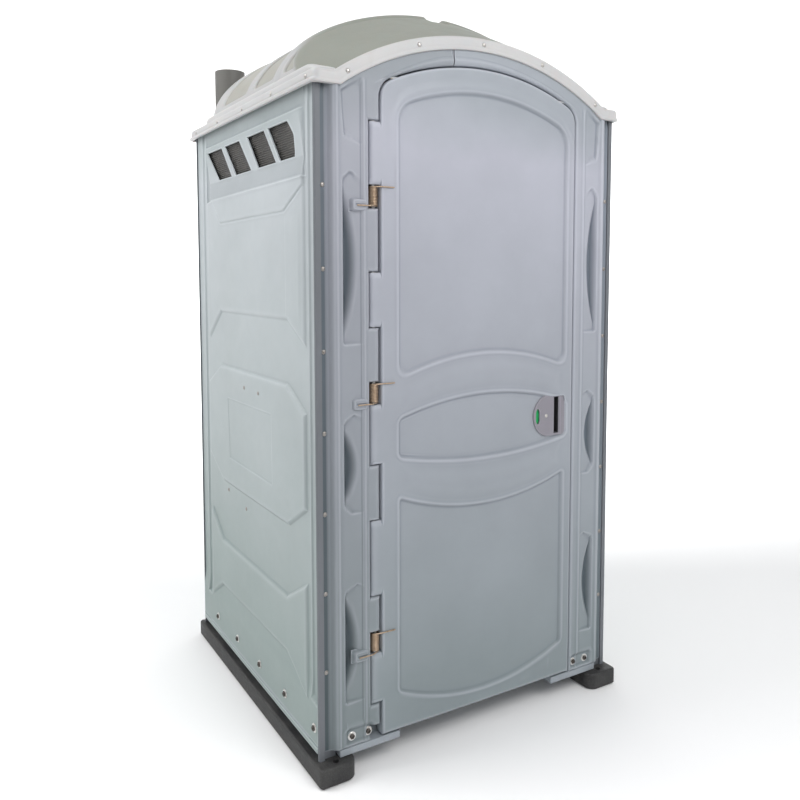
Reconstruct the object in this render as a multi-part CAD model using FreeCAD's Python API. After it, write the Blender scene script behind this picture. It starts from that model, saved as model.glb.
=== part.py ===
# Portable toilet cabin: moulded walls on four corner posts, a floor pan on two skids,
# a domed roof, a sprung door, and the tank, seat, urinal and paper holder inside.
# Frame: X to the right seen from the door, Y towards the back, Z up, in millimetres.
# The origin lies on the ground in the middle of the overall width and length.
import FreeCAD, Part
import math
import os

V = FreeCAD.Vector

# Overall sizes of the cabin
BODY_WIDTH = 1120.0         # across the outer faces of the side walls
BODY_DEPTH = 1068.0         # front rivet face to the rear corner noses
SKID_NOSE = 48.0            # skid ahead of the front rivet face
SKID_TAIL = 21.0            # skid behind the body
ROOF_NOSE = 27.0            # roof ahead of the front rivet face
ROOF_TAIL = 52.0            # roof behind the body
EAVE_Z = 1955.0             # lower edge of the roof skirt
DOME_TOP = 2310.0           # highest point of the roof

# Skids and floor pan
SKID_WIDTH = 118.0
SKID_HEIGHT = 57.0
SKID_SPREAD = 11.0          # skid beyond the side wall
TIE_HOLE_R = 9.0
TIE_HOLE_SETBACK = 27.0     # from the end of the skid
PANEL_FOOT = 79.0           # lower edge of the wall panels
FLOOR_Z = 105.0             # walking surface
PAN_WALL = 4.5
PAN_RIM_TOP = 170.0
FOOT_REACH = 263.0          # the pan's front foot, inwards from the side wall's outer face
DOOR_STOP_RISE = 14.0       # upstand of the pan behind the door, above the floor

# Wall panels
WALL = 4.0
FIELD_DEPTH = 9.0           # sunk fields of the walls
STRIP_DEPTH = 15.0          # sunk strips along the wall edges
FIELD_TAPER = 10.0          # width of the sloping edge of a sunk field
VENT_DEPTH = 12.0
SCREEN_THICK = 1.5
LOUVRE_PITCH = 12.0
LOUVRE_GAP = 6.0

# Corner posts
NOSE = 5.0                  # post nose ahead of the rivet face
NOSE_INSET = 4.0            # from the outer face of the side wall
POST_WALL = 3.0
POST_LEG = 52.0

# Rivets: nine down each post
RIVET_INSET = 30.0          # rivet rows from the outer face of the side wall
RIVET_MID_Z = 1000.0
RIVET_PITCH = 229.0
RIVET_END_PITCH = 212.0
RIVET_HEAD_R = 7.0
RIVET_HEAD_RISE = 3.0
RIVET_SHANK_R = 2.4
HOLE_SLACK = 0.05           # radial clearance of a pin or shank in its hole

# Front frame and door
FRAME_FACE = 20.0           # front face of frame and door ahead of the rivet face
FRAME_WALL = 3.5
FRAME_INSET = 37.0          # side of the frame from the outer face of the side wall
FRAME_REAR = 26.0           # rear edge of the frame behind the rivet face
FLANGE_INSET = 22.0
HEADER_SEAM_X = -108.0      # where the two halves of the frame meet
ARCH_INSET = 77.0           # end of the roof arch from the outer face of the side wall
ARCH_RISE = 151.0
HEADER_BAND = 45.0          # visible frame between roof and doorway
DOOR_GAP = 4.0
LATCH_JAMB = 187.0          # door's free edge from the outer face of the side wall
DOOR_FOOT = 84.0
DOOR_SHOULDER = 60.0        # radius of the upper corners
DOOR_REAR = 18.0            # inner face of the door behind the rivet face
DOOR_SINK = 8.0             # depth of the sunk panels of the door
# Door fields: insets from the door's left and right edge, then the top edge at its ends and
# middle, and the low edge likewise
UPPER_PANEL = (56.5, 32.0)
LATCH_BAND = (55.5, 26.0, 1022.0, 1076.0, 908.0, 873.0)
LOWER_PANEL = (57.5, 37.0, 790.0, 728.0, 200.0, 129.0)
UPPER_CRESCENT = (68.5, 44.0, 1124.0, 1188.0, 1040.0, 1094.0)
LOWER_CRESCENT = (68.5, 44.0, 890.0, 855.0, 808.0, 746.0)
STOP_WIDTH = 25.0           # flange of the frame behind the door
SCOOP_DEPTH = 14.0          # hand hollows in the jamb pockets
SCOOP_ZONES = ((1262.0, 1690.0), (790.0, 1012.0), (240.0, 530.0))

# Hinge
HINGE_JAMB = 184.0          # hinge axis from the outer face of the side wall
BARREL_R = 16.0
ROD_R = 6.0
KNUCKLE_GAP = 3.0
SPRING_ZONES = ((338.0, 402.0), (1071.0, 1135.0), (1629.0, 1693.0))
DOOR_KNUCKLES = ((186.0, 338.0), (509.0, 733.0), (896.0, 1071.0), (1292.0, 1449.0),
                 (1693.0, 1870.0))
FRAME_KNUCKLES = ((119.0, 186.0), (402.0, 509.0), (733.0, 896.0), (1135.0, 1292.0),
                  (1449.0, 1629.0))
WIRE_R = 2.5
WIRE_SIDES = 8
COIL_R = 10.6               # centre line of the spring wire
COIL_PITCH = 6.1
COIL_TURNS = 9
LEG_REACH = 62.0            # spring leg from the hinge axis to its tip
LEG_REST = 0.3              # between a spring leg and the face it bears on
PAD_RISE = 5.0              # pad under the lower leg of a spring

# Latch
LATCH_INSET = 109.0         # spindle from the door's free edge
LATCH_Z = 978.0
LATCH_THICK = 6.0
LATCH_LEFT = 53.0           # left edge of the plate from the spindle
LATCH_RIGHT = 81.0
LATCH_HALF_HEIGHT = 68.0
SLOT_LEFT = 33.0            # finger slot from the spindle
SLOT_RIGHT = 52.0
SLOT_DEPTH = 22.0
SLOT_MARGIN = 8.0           # plate above and below the slot
CUP_WALL = 2.0
PLATE_GAP = 0.8             # around the plate in its pocket
SPINDLE_R = 5.0
FLAG_R = 45.0
FLAG_THICK = 1.5
BOLT_REACH = 135.0
BOLT_THICK = 6.0
STRIKE_THICK = 1.5

# Roof
ROOF_WALL = 3.5
SKIRT_RISE = 38.0           # eave to the ledge around the roof
SKIRT_BEAD = 7.0            # bead proud of the skirt
BEAD_HEIGHT = 12.0
SKIRT_WALL = 4.0
DECK_RISE = 22.0            # deck above the ledge
DECK_INSET = 8.0
DECK_END = 985.0            # the deck stops here, from the rivet face
FASCIA_HEIGHT = 41.0
DOME_INSET = 12.0           # foot of the dome from the outer face of the side wall
DOME_CREST = 320.0          # the dome reaches full height here, from the rivet face
DOME_SHOULDER = 690.0       # and starts to round off towards the back here
DOME_END = 968.0
DOME_POWER = 2.4            # roundness of the dome's section
RIB_WIDTH = 14.0
RIB_RISE = 9.0
RIB_FIRST = 190.0
RIB_PITCH = 255.0

# Vent pipe
PIPE_R = 55.0
PIPE_WALL = 3.2
PIPE_INSET = 105.0          # pipe axis from the outer face of the side wall
PIPE_DEPTH = 955.0
PIPE_TOP = 2197.0
PIPE_COLLAR = 7.0

# Tank, seat and lid
TANK_INSET = 40.0           # tank from the outer face of the side wall
TANK_FRONT = 565.0
TANK_REAR = 1044.0
TANK_TOP = 470.0
TANK_WALL = 4.0
TOWER_WIDTH = 150.0
TOWER_DEPTH = 160.0
TOWER_RISE = 90.0
BOWL_LONG = 115.0           # half length of the bowl opening
BOWL_WIDE = 95.0
SEAT_CENTRE = 752.0
SEAT_LONG = 172.0
SEAT_WIDE = 182.0
SEAT_THICK = 20.0
SEAT_EDGE_R = 6.0
LID_THICK = 13.0
LID_GAP = 0.5
LID_PIN_R = 4.0
LID_PIN_HALF = 80.0
LID_PIN_BEHIND = 9.0        # pin axis behind the edge of the seat

# Urinal on the right wall
URINAL_DEPTH = 350.0
URINAL_LIP_Z = 790.0
URINAL_FOOT_Z = 640.0
URINAL_REACH = 150.0
URINAL_HALF = 100.0
URINAL_WALL = 5.0
SPLASH_TOP = 960.0
DRAIN_R = 16.0
DRAIN_WALL = 3.0
DRAIN_Z = 400.0

# Paper holder on the left wall
HOLDER_START = 400.0
HOLDER_LENGTH = 260.0
HOLDER_Z = 850.0
HOLDER_SHEET = 3.0
ROLL_R = 55.0
ROLL_BORE_R = 20.0
ROLL_WIDTH = 105.0
ROLL_ROD_R = 6.0
ROLL_HANG = 0.3

# Bolts
BOLT_R = 4.0
BOLT_HEAD_R = 8.5
BOLT_HEAD_RISE = 5.0
SIDE_BOLT_Z = 145.0
SIDE_BOLT_FIRST = 26.0
SIDE_BOLT_PITCH = 216.0
SIDE_BOLTS = 5
FRAME_BOLT_INSETS = (158.0, 105.0)
FRAME_BOLT_Z = 108.0
POCKET_DEPTH = 10.0
SKID_BOLT_DEPTHS = (200.0, 540.0, 880.0)

# Sizes that follow
HALF = BODY_WIDTH / 2
RIVET_X = HALF - RIVET_INSET
FRAME_HALF = HALF - FRAME_INSET
FLANGE_EDGE = HALF - FLANGE_INSET
ARCH_HALF = HALF - ARCH_INSET
TANK_HALF = HALF - TANK_INSET
PIPE_X = PIPE_INSET - HALF
HINGE_X = HINGE_JAMB - HALF
DOOR_RIGHT = HALF - LATCH_JAMB
LATCH_X = DOOR_RIGHT - LATCH_INSET
FRONT_Y = -(BODY_DEPTH + ROOF_TAIL - SKID_NOSE) / 2
LEDGE_Z = EAVE_Z + SKIRT_RISE
DECK_Z = LEDGE_Z + DECK_RISE
PANEL_TOP = LEDGE_Z - ROOF_WALL
BACK_FACE = BODY_DEPTH - NOSE
ARCH_R = (ARCH_HALF ** 2 + ARCH_RISE ** 2) / (2 * ARCH_RISE)
ARCH_Z = EAVE_Z + ARCH_RISE - ARCH_R
OPENING_R = ARCH_R - HEADER_BAND
DOOR_R = OPENING_R - DOOR_GAP
DOOR_LEFT = HINGE_X + BARREL_R + KNUCKLE_GAP + 0.5
OPENING_LEFT = HINGE_X - BARREL_R - KNUCKLE_GAP
OPENING_RIGHT = DOOR_RIGHT + DOOR_GAP
HINGE_F = BARREL_R - FRAME_FACE
LEG_X = HALF - STRIP_DEPTH - WALL
SKID_X = HALF + SKID_SPREAD - SKID_WIDTH / 2
FIELD_INNER = HALF - FIELD_DEPTH - WALL
RIVET_HEIGHTS = [RIVET_MID_Z + RIVET_PITCH * k for k in range(-3, 4)]
RIVET_HEIGHTS.insert(0, RIVET_HEIGHTS[0] - RIVET_END_PITCH)
RIVET_HEIGHTS.append(RIVET_HEIGHTS[-1] + RIVET_END_PITCH)
X_AXIS = V(1, 0, 0)
Y_AXIS = V(0, 1, 0)
Z_AXIS = V(0, 0, 1)


def at(x, depth, z):
    """A point given by its distance behind the front rivet face."""
    return V(x, FRONT_Y + depth, z)


def box(x0, x1, depth0, depth1, z0, z1):
    return Part.makeBox(x1 - x0, depth1 - depth0, z1 - z0, at(x0, depth0, z0))


def rod(start, direction, radius, length):
    return Part.makeCylinder(radius, length, start, direction)


def mirrored(shape):
    return shape.mirror(V(0, 0, 0), X_AXIS)


def joined(shapes):
    whole = shapes[0].fuse(shapes[1:]) if len(shapes) > 1 else shapes[0]
    return whole.removeSplitter()


def inset(points, distance):
    """Moves every side of a polygon inwards by the same distance."""
    count = len(points)
    doubled_area = sum(points[i - 1][0] * points[i][1] - points[i][0] * points[i - 1][1]
                       for i in range(count))
    turn = math.copysign(1.0, doubled_area)
    moved = []
    for i in range(count):
        before, here, after = points[i - 1], points[i], points[(i + 1) % count]
        normals = []
        for start, end in ((before, here), (here, after)):
            run = math.hypot(end[0] - start[0], end[1] - start[1])
            normals.append((-(end[1] - start[1]) * turn / run, (end[0] - start[0]) * turn / run))
        spread = 1 + normals[0][0] * normals[1][0] + normals[0][1] * normals[1][1]
        moved.append((here[0] + distance * (normals[0][0] + normals[1][0]) / spread,
                      here[1] + distance * (normals[0][1] + normals[1][1]) / spread))
    return moved


def ring(points, place, level):
    corners = [place(u, v, level) for u, v in points]
    return Part.makePolygon(corners + corners[:1])


def slab(points, place, level0, level1, taper=0.0):
    """A polygon block between two levels of a wall, narrower by the taper at the second."""
    return Part.makeLoft([ring(points, place, level0),
                          ring(inset(points, taper), place, level1)], True, True)


def pressed(sheet, fields, place, wall, taper):
    """Presses sunk fields into a sheet that keeps its thickness. Level 0 is the outer face."""
    over = 1.0
    backs = [slab(inset(points, -wall), place, wall / 2, depth + wall, taper)
             for points, depth in fields]
    hollows = [slab(inset(points, -over * taper / depth), place, -over, depth,
                    taper * (1 + over / depth)) for points, depth in fields]
    return sheet.fuse(backs).cut(hollows)


def on_side(u, v, level):
    """Right wall: u runs from front to back, v is the height, level goes inwards."""
    return at(HALF - level, u, v)


def on_back(u, v, level):
    return at(u, BACK_FACE - level, v)


def on_frame(u, v, level):
    return at(u, level - FRAME_FACE, v)


def on_door_inside(u, v, level):
    return at(u, DOOR_REAR - level, v)


def arc(start, middle, end):
    return Part.Arc(start, middle, end).toShape()


def line(start, end):
    return Part.makeLine(start, end)


def arched_wire(left, right, radius, shoulder, low_end, low_middle, depth):
    """Upright sides, round shoulders, a top arc around the arch centre, and a flat or
    arched lower edge."""
    centres, on_sides, on_tops, mids = [], [], [], []
    for side, sign in ((right, 1.0), (left, -1.0)):
        cx = side - sign * shoulder
        rise = math.sqrt((radius - shoulder) ** 2 - cx ** 2)
        cz = ARCH_Z + rise
        ux, uz = cx / (radius - shoulder), rise / (radius - shoulder)
        mx, mz = (ux + sign), uz
        size = math.hypot(mx, mz)
        centres.append((cx, cz))
        on_sides.append(at(side, depth, cz))
        on_tops.append(at(ux * radius, depth, ARCH_Z + uz * radius))
        mids.append(at(cx + shoulder * mx / size, depth, cz + shoulder * mz / size))
    low_left, low_right = at(left, depth, low_end), at(right, depth, low_end)
    if abs(low_middle - low_end) < 0.01:
        lower = line(low_left, low_right)
    else:
        lower = arc(low_left, at((left + right) / 2, depth, low_middle), low_right)
    return Part.Wire([lower, line(low_right, on_sides[0]), arc(on_sides[0], mids[0], on_tops[0]),
                      arc(on_tops[0], at(0, depth, ARCH_Z + radius), on_tops[1]),
                      arc(on_tops[1], mids[1], on_sides[1]), line(on_sides[1], low_left)])


def band_wire(left, right, top_end, top_middle, low_end, low_middle, depth):
    """Upright sides with an arc above and an arc below."""
    middle = (left + right) / 2
    corners = [at(left, depth, low_end), at(right, depth, low_end),
               at(right, depth, top_end), at(left, depth, top_end)]
    return Part.Wire([arc(corners[0], at(middle, depth, low_middle), corners[1]),
                      line(corners[1], corners[2]),
                      arc(corners[2], at(middle, depth, top_middle), corners[3]),
                      line(corners[3], corners[0])])


def door_band(sizes, by, depth):
    """Outline of one of the door's fields, made smaller all round by a distance."""
    left, right, top_end, top_middle, low_end, low_middle = sizes
    return band_wire(DOOR_LEFT + left + by, DOOR_RIGHT - right - by, top_end - by, top_middle - by,
                     low_end + by, low_middle + by, depth)


def front_block(wire, depth0, depth1):
    """Extrudes a front outline that was drawn at the first depth."""
    return Part.Face(wire).extrude(V(0, depth1 - depth0, 0))


def many_sided(radius, level, sides):
    """A level regular outline, with its corners on the radius."""
    turns = [2 * math.pi * k / sides for k in range(sides)]
    corners = [V(radius * math.cos(turn), radius * math.sin(turn), level) for turn in turns]
    return Part.makePolygon(corners + corners[:1])


def rivet(place, outward):
    """A tapered head with its shank, seated at a point of the outer face."""
    head = Part.makeLoft([many_sided(RIVET_HEAD_R, 0, 12),
                          many_sided(RIVET_HEAD_R * 0.5, RIVET_HEAD_RISE, 12)], True, True)
    shank = Part.Face(many_sided(RIVET_SHANK_R, 0.6 - WALL, 6)).extrude(V(0, 0, WALL))
    shape = head.fuse(shank)
    shape.Placement = FreeCAD.Placement(place, FreeCAD.Rotation(Z_AXIS, outward))
    return shape


def hex_bolt(place, outward, length):
    """A hexagon head on its washer face, with a plain shank that goes inwards."""
    head = Part.Face(many_sided(BOLT_HEAD_R, 0, 6)).extrude(V(0, 0, BOLT_HEAD_RISE))
    shape = head.fuse(Part.Face(many_sided(BOLT_R, -length, 12)).extrude(V(0, 0, length)))
    shape.Placement = FreeCAD.Placement(place, FreeCAD.Rotation(Z_AXIS, outward))
    return shape


def drilled(shape, points, direction, radius, length):
    """Cuts one hole per point, each running the given length along the direction."""
    return shape.cut([rod(point, direction, radius, length) for point in points])


# Places that several pieces share
def post_rivets(side, rear):
    depth = BACK_FACE if rear else 0.0
    return [at(side * RIVET_X, depth, z) for z in RIVET_HEIGHTS]


def skirt_rivets():
    skirt = HALF + SKIRT_WALL
    height = EAVE_Z + 0.58 * SKIRT_RISE
    side_depths = [28.0 + 252.0 * k for k in range(5)]
    places = [(at(side * skirt, depth, height), V(side, 0, 0))
              for side in (-1, 1) for depth in side_depths]
    rear = BODY_DEPTH + ROOF_TAIL - SKIRT_BEAD
    pitch = (BODY_WIDTH - 220) / 3
    return places + [(at(pitch * k, rear, height), Y_AXIS) for k in (-1.5, -0.5, 0.5, 1.5)]


def fascia_rivets():
    radius = ARCH_R + FASCIA_HEIGHT / 2
    places = []
    for k in range(-2, 3):
        x = (ARCH_HALF - 254) * k - 4
        z = ARCH_Z + math.sqrt(radius ** 2 - x ** 2)
        places.append((at(x, -ROOF_NOSE, z), V(0, -1, 0)))
    return places


def side_bolts(side):
    return [at(side * HALF, SIDE_BOLT_FIRST + SIDE_BOLT_PITCH * k, SIDE_BOLT_Z)
            for k in range(SIDE_BOLTS)]


def frame_bolts(side):
    return [at(side * (HALF - inset_x), POCKET_DEPTH - FRAME_FACE, FRAME_BOLT_Z)
            for inset_x in FRAME_BOLT_INSETS]


def skid_bolts(side):
    return [at(side * SKID_X, depth, BOLT_HEAD_RISE + 5.0) for depth in SKID_BOLT_DEPTHS]


def make_skid(side):
    """A moulded runner with a round inner nose and two tie-down holes."""
    start, end = -SKID_NOSE, BODY_DEPTH + SKID_TAIL
    inner = SKID_X - SKID_WIDTH / 2
    outer = SKID_X + SKID_WIDTH / 2
    body = box(inner, outer, start, end, 0, SKID_HEIGHT)
    for radius, x in ((34.0, inner), (12.0, outer)):
        edges = [e for e in body.Edges if abs(e.BoundBox.ZLength - SKID_HEIGHT) < 0.1
                 and abs(e.BoundBox.XMin - x) < 0.1 and e.BoundBox.XLength < 0.1]
        body = body.makeFillet(radius, edges)
    top_edges = [e for e in body.Edges if e.BoundBox.ZMin > SKID_HEIGHT - 0.1]
    body = body.makeFillet(7.0, top_edges)
    low_edges = [e for e in body.Edges if e.BoundBox.ZMax < 0.1 and e.BoundBox.YLength < 60]
    body = body.makeChamfer(6.0, low_edges)
    holes = [at(SKID_X, start + TIE_HOLE_SETBACK, -1), at(SKID_X, end - TIE_HOLE_SETBACK, -1)]
    body = drilled(body, holes, Z_AXIS, TIE_HOLE_R, SKID_HEIGHT + 2)
    shank_holes = [V(p.x, p.y, -1) for p in skid_bolts(1)]
    body = drilled(body, shank_holes, Z_AXIS, BOLT_R + HOLE_SLACK, SKID_HEIGHT + 2)
    body = drilled(body, shank_holes, Z_AXIS, BOLT_HEAD_R + 3, skid_bolts(1)[0].z + 1)
    return body if side > 0 else mirrored(body)


def make_floor_pan():
    """Ribbed floor tray with a rim for the wall bolts and feet that stand on the skids."""
    rim_x = HALF - WALL
    post_x = LEG_X - POST_WALL - 1.5
    leg_end = POST_LEG + 12.0
    rear = BACK_FACE - WALL
    half_plan = [(post_x, FRAME_REAR), (post_x, leg_end), (rim_x, leg_end),
                 (rim_x, BODY_DEPTH - NOSE - leg_end), (post_x, BODY_DEPTH - NOSE - leg_end),
                 (post_x, rear - 8), (HALF - 65, rear - 8), (HALF - 65, rear)]
    plan = half_plan + [(-x, depth) for x, depth in reversed(half_plan)]

    def on_floor(u, v, level):
        return at(u, v, level)

    tray = slab(plan, on_floor, PANEL_FOOT, PAN_RIM_TOP)
    inner_plan = inset(plan, PAN_WALL + 1)
    tray = tray.cut(slab(inner_plan, on_floor, FLOOR_Z, PAN_RIM_TOP + 1))
    tray = tray.cut(box(-HALF, HALF, 0, FRAME_REAR + 40, FLOOR_Z + DOOR_STOP_RISE, PAN_RIM_TOP + 1))
    cells = []
    edge_cells = []
    columns, rows = 4, 4
    cell_half = HALF - 168
    cell_x = (2 * cell_half - PAN_WALL * (columns - 1)) / columns
    cell_y = (rear - FRAME_REAR - 2 * PAN_WALL - PAN_WALL * (rows - 1)) / rows
    for i in range(columns):
        for j in range(rows):
            x0 = -cell_half + i * (cell_x + PAN_WALL)
            y0 = FRAME_REAR + PAN_WALL + j * (cell_y + PAN_WALL)
            cells.append(box(x0, x0 + cell_x, y0, y0 + cell_y, PANEL_FOOT - 1, FLOOR_Z - PAN_WALL))
            if i == 0:
                edge_cells.append(box(HALF - 155, HALF - 68, y0 + 12, min(y0 + cell_y, rear - 13),
                                      0, FLOOR_Z - PAN_WALL))
    tray = tray.cut(cells)
    pieces = [tray]
    for side in (-1, 1):
        low, high = sorted((side * (HALF - 160), side * (HALF - 30)))
        pieces.append(box(low, high, FRAME_REAR, rear - 8, SKID_HEIGHT, PANEL_FOOT + 1))
        low, high = sorted((side * (HALF - FOOT_REACH), side * (FRAME_HALF - 27)))
        pieces.append(box(low, high, 2 - FRAME_FACE, FRAME_REAR + 20, SKID_HEIGHT + 3, PANEL_FOOT + 1))
    for k in range(-4, 5):
        x = (HALF - 240) / 4 * k
        pieces.append(box(x - 5, x + 5, 90, TANK_FRONT - 30, FLOOR_Z - 1, FLOOR_Z + 2.5))
    pan = joined(pieces)
    pan = pan.cut(edge_cells + [mirrored(cell) for cell in edge_cells])
    for side in (-1, 1):
        inward = V(-side, 0, 0)
        starts = [p for p in side_bolts(side)]
        pan = drilled(pan, starts, inward, BOLT_R + HOLE_SLACK, 14)
        pan = drilled(pan, frame_bolts(side), Y_AXIS, BOLT_R + HOLE_SLACK, 60)
        feet = [V(p.x, p.y, SKID_HEIGHT - 1) for p in skid_bolts(side)]
        pan = drilled(pan, feet, Z_AXIS, BOLT_R + HOLE_SLACK, 21)
    return pan


def window_outlines():
    """Four leaning vent windows, listed from front to back."""
    low, high, lean = 1771.0, 1878.0, 128.0
    width, pitch = 146.0, 195.0
    first = 160.0
    outlines = []
    for k in range(4):
        start = first + pitch * k
        corners = [(start - lean + 24, low), (start - lean + width, low),
                   (start + width, high), (start, high)]
        if k == 0:
            corners = [(start - 64, low), (start - lean + width + 20, low),
                       (start + width, high), (start, high), (start - 52, 1826.0)]
        else:
            corners[0] = (start - lean, low)
            corners[1] = (start - lean + width - 8, low)
        outlines.append(corners)
    return outlines


def make_side_panel():
    """Right wall: a formed sheet with octagonal bands, edge strips and a vent bay."""
    depth_end = BACK_FACE - 4.0
    sheet = box(HALF - WALL, HALF, 4.0, depth_end, PANEL_FOOT, PANEL_TOP)
    front, rear = 68.0, 945.0
    upper = [(front, 1668), (103, 1668), (207, 1624), (788, 1620), (885, 1684), (rear, 1684),
             (rear, 1203), (800, 1308), (201, 1308), (front, 1236)]
    belt = [(front, 1048), (200, 1120), (805, 1120), (rear, 1048), (rear, 767), (800, 690),
            (200, 690), (front, 767)]
    lower = [(front, 554), (214, 470), (817, 470), (rear, 560), (rear, 218), (827, 290),
             (220, 290), (front, 212)]
    strip_top = PANEL_TOP - 12
    strip_foot = 205.0
    front_strip = [(-30.0, strip_foot), (56.0, strip_foot + 22), (56.0, strip_top), (-30.0, strip_top)]
    rear_strip = [(962.0, strip_foot), (1010.0, strip_foot), (1010.0, strip_top), (962.0, strip_top)]
    vent = [(80, 1728), (112, 1905), (940, 1900), (878, 1728)]
    fields = [(upper, FIELD_DEPTH), (belt, FIELD_DEPTH), (lower, FIELD_DEPTH),
              (front_strip, STRIP_DEPTH), (rear_strip, STRIP_DEPTH), (vent, VENT_DEPTH)]
    panel = pressed(sheet, fields, on_side, WALL, FIELD_TAPER)
    panel = panel.cut(box(HALF - 60, HALF + 5, -60, 4.0, 0, PANEL_TOP + 50))
    windows = [slab(points, on_side, -5, 40) for points in window_outlines()]
    panel = panel.cut(windows)
    panel = drilled(panel, side_bolts(1), V(-1, 0, 0), BOLT_R + HOLE_SLACK, 12)
    return panel


def make_vent_screen():
    """Louvred screen behind the four windows of the right wall."""
    low, high = 1752.0, 1892.0
    face = VENT_DEPTH + WALL
    sheet = slab([(84, low), (104, high), (925, high), (862, low)], on_side, face, face + SCREEN_THICK)
    gaps = []
    for points in window_outlines():
        bottom, top = points[0][1], points[2][1]
        rows = int((top - bottom - 8) / LOUVRE_PITCH)
        for row in range(rows):
            z0 = bottom + 8 + LOUVRE_PITCH * row
            share = (z0 - bottom) / (top - bottom)
            left = points[0][0] + share * (points[-1][0] - points[0][0]) + 6
            right = points[1][0] + share * (points[2][0] - points[1][0]) - 6
            if len(points) == 5:
                left = max(left, points[0][0]) + 4
            gaps.append(box(HALF - face - 5, HALF - face + 2, left, right, z0, z0 + LOUVRE_GAP))
    return sheet.cut(gaps)


def make_back_panel():
    """Rear wall with three sunk fields between its bands."""
    edge = FLANGE_EDGE
    sheet = box(-edge, edge, BACK_FACE - WALL, BACK_FACE, PANEL_FOOT, PANEL_TOP)
    side, near, top = HALF - 90, HALF - 220, HALF - 200
    upper = [(-side, 1640), (-top, 1710), (top, 1710), (side, 1640), (side, 1236), (near, 1308),
             (-near, 1308), (-side, 1236)]
    belt = [(-side, 1048), (-near, 1120), (near, 1120), (side, 1048), (side, 767), (near, 690),
            (-near, 690), (-side, 767)]
    lower = [(-side, 554), (-near, 470), (near, 470), (side, 554), (side, 218), (near, 290),
             (-near, 290), (-side, 218)]
    panel = pressed(sheet, [(p, FIELD_DEPTH) for p in (upper, belt, lower)], on_back, WALL,
                    FIELD_TAPER)
    for sign in (-1, 1):
        panel = drilled(panel, post_rivets(sign, True), V(0, -1, 0),
                        RIVET_SHANK_R + HOLE_SLACK, WALL + 1)
    return panel


def make_post(side, rear):
    """Extruded corner post: a nose outside the walls and two legs behind their edges."""
    nose_x = HALF - NOSE_INSET
    face = WALL if rear else FRAME_WALL
    radius = 5.0
    inner, flange = LEG_X - POST_WALL, HALF - 60
    outline = [(flange, face), (FLANGE_EDGE, face), (FLANGE_EDGE, -NOSE), (nose_x - radius, -NOSE)]
    after = [(nose_x, radius - NOSE), (nose_x, 4.0), (LEG_X, 4.0), (LEG_X, POST_LEG + 8),
             (inner, POST_LEG + 8), (inner, face + POST_WALL), (flange, face + POST_WALL)]

    def place(x, depth):
        return at(x, BACK_FACE - depth if rear else depth, SKID_HEIGHT)

    edges = [line(place(*a), place(*b)) for a, b in zip(outline, outline[1:])]
    turn = radius * math.sqrt(0.5)
    edges.append(arc(place(*outline[-1]), place(nose_x - radius + turn, radius - NOSE - turn),
                     place(*after[0])))
    edges += [line(place(*a), place(*b)) for a, b in zip(after, after[1:] + outline[:1])]
    post = Part.Face(Part.Wire(edges)).extrude(V(0, 0, PANEL_TOP - SKID_HEIGHT))
    return post if side > 0 else mirrored(post)


def frame_outline(by, depth):
    """Outer outline of the front frame: upright sides, flat shoulders and the arch."""
    half = FRAME_HALF - by
    radius = ARCH_R + 20.0 - by
    top = EAVE_Z + 20.0 - by
    foot = PANEL_FOOT + 1.0
    meet = math.sqrt(radius ** 2 - (top - ARCH_Z) ** 2)
    points = [at(-half, depth, foot), at(half, depth, foot), at(half, depth, top),
              at(meet, depth, top), at(-meet, depth, top), at(-half, depth, top)]
    return Part.Wire([line(points[0], points[1]), line(points[1], points[2]),
                      line(points[2], points[3]),
                      arc(points[3], at(0, depth, ARCH_Z + radius), points[4]),
                      line(points[4], points[5]), line(points[5], points[0])])


def opening_block(by, depth0, depth1):
    """Doorway widened by a distance: the door's outline, and room beside it for the hinge."""
    arch = front_block(arched_wire(DOOR_LEFT - DOOR_GAP - by, OPENING_RIGHT + by, OPENING_R + by,
                                   DOOR_SHOULDER + DOOR_GAP + by, 0.0, 0.0, depth0), depth0, depth1)
    hinge_foot = FRAME_KNUCKLES[0][0] + KNUCKLE_GAP
    hinge_top = DOOR_KNUCKLES[-1][1] + KNUCKLE_GAP / 2
    return arch.fuse(box(OPENING_LEFT - by, 0, depth0, depth1, hinge_foot - by, hinge_top + by))


def jamb_pockets():
    """Sunk pockets of the right jamb with slanting ends, from top to bottom."""
    inner, outer = HALF - 140, HALF - 82
    return [[(inner, 1800), (outer, 1822), (outer, 1946), (inner, 1972)],
            [(inner, 1246), (outer, 1246), (outer, 1704), (inner + 14, 1725), (inner, 1712)],
            [(inner, 778), (inner + 18, 764), (outer, 786), (outer, 1028), (inner + 16, 1050),
             (inner, 1040)],
            [(inner, 212), (outer, 210), (outer, 540), (inner + 8, 560), (inner, 552)]]


def scoop(side, zone, by, level0, level1):
    """Crescent block for a hand hollow: a straight outer edge and a bulging inner edge."""
    edge, bulge = HALF - 90 + by, HALF - 122 - by
    low, high = zone[0] - by, zone[1] + by
    ends = [on_frame(edge, low, level0), on_frame(edge, high, level0)]
    outline = Part.Wire([line(ends[1], ends[0]),
                         arc(ends[0], on_frame(bulge, (low + high) / 2, level0), ends[1])])
    block = Part.Face(outline).extrude(V(0, level1 - level0, 0))
    return block if side > 0 else mirrored(block)


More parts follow.
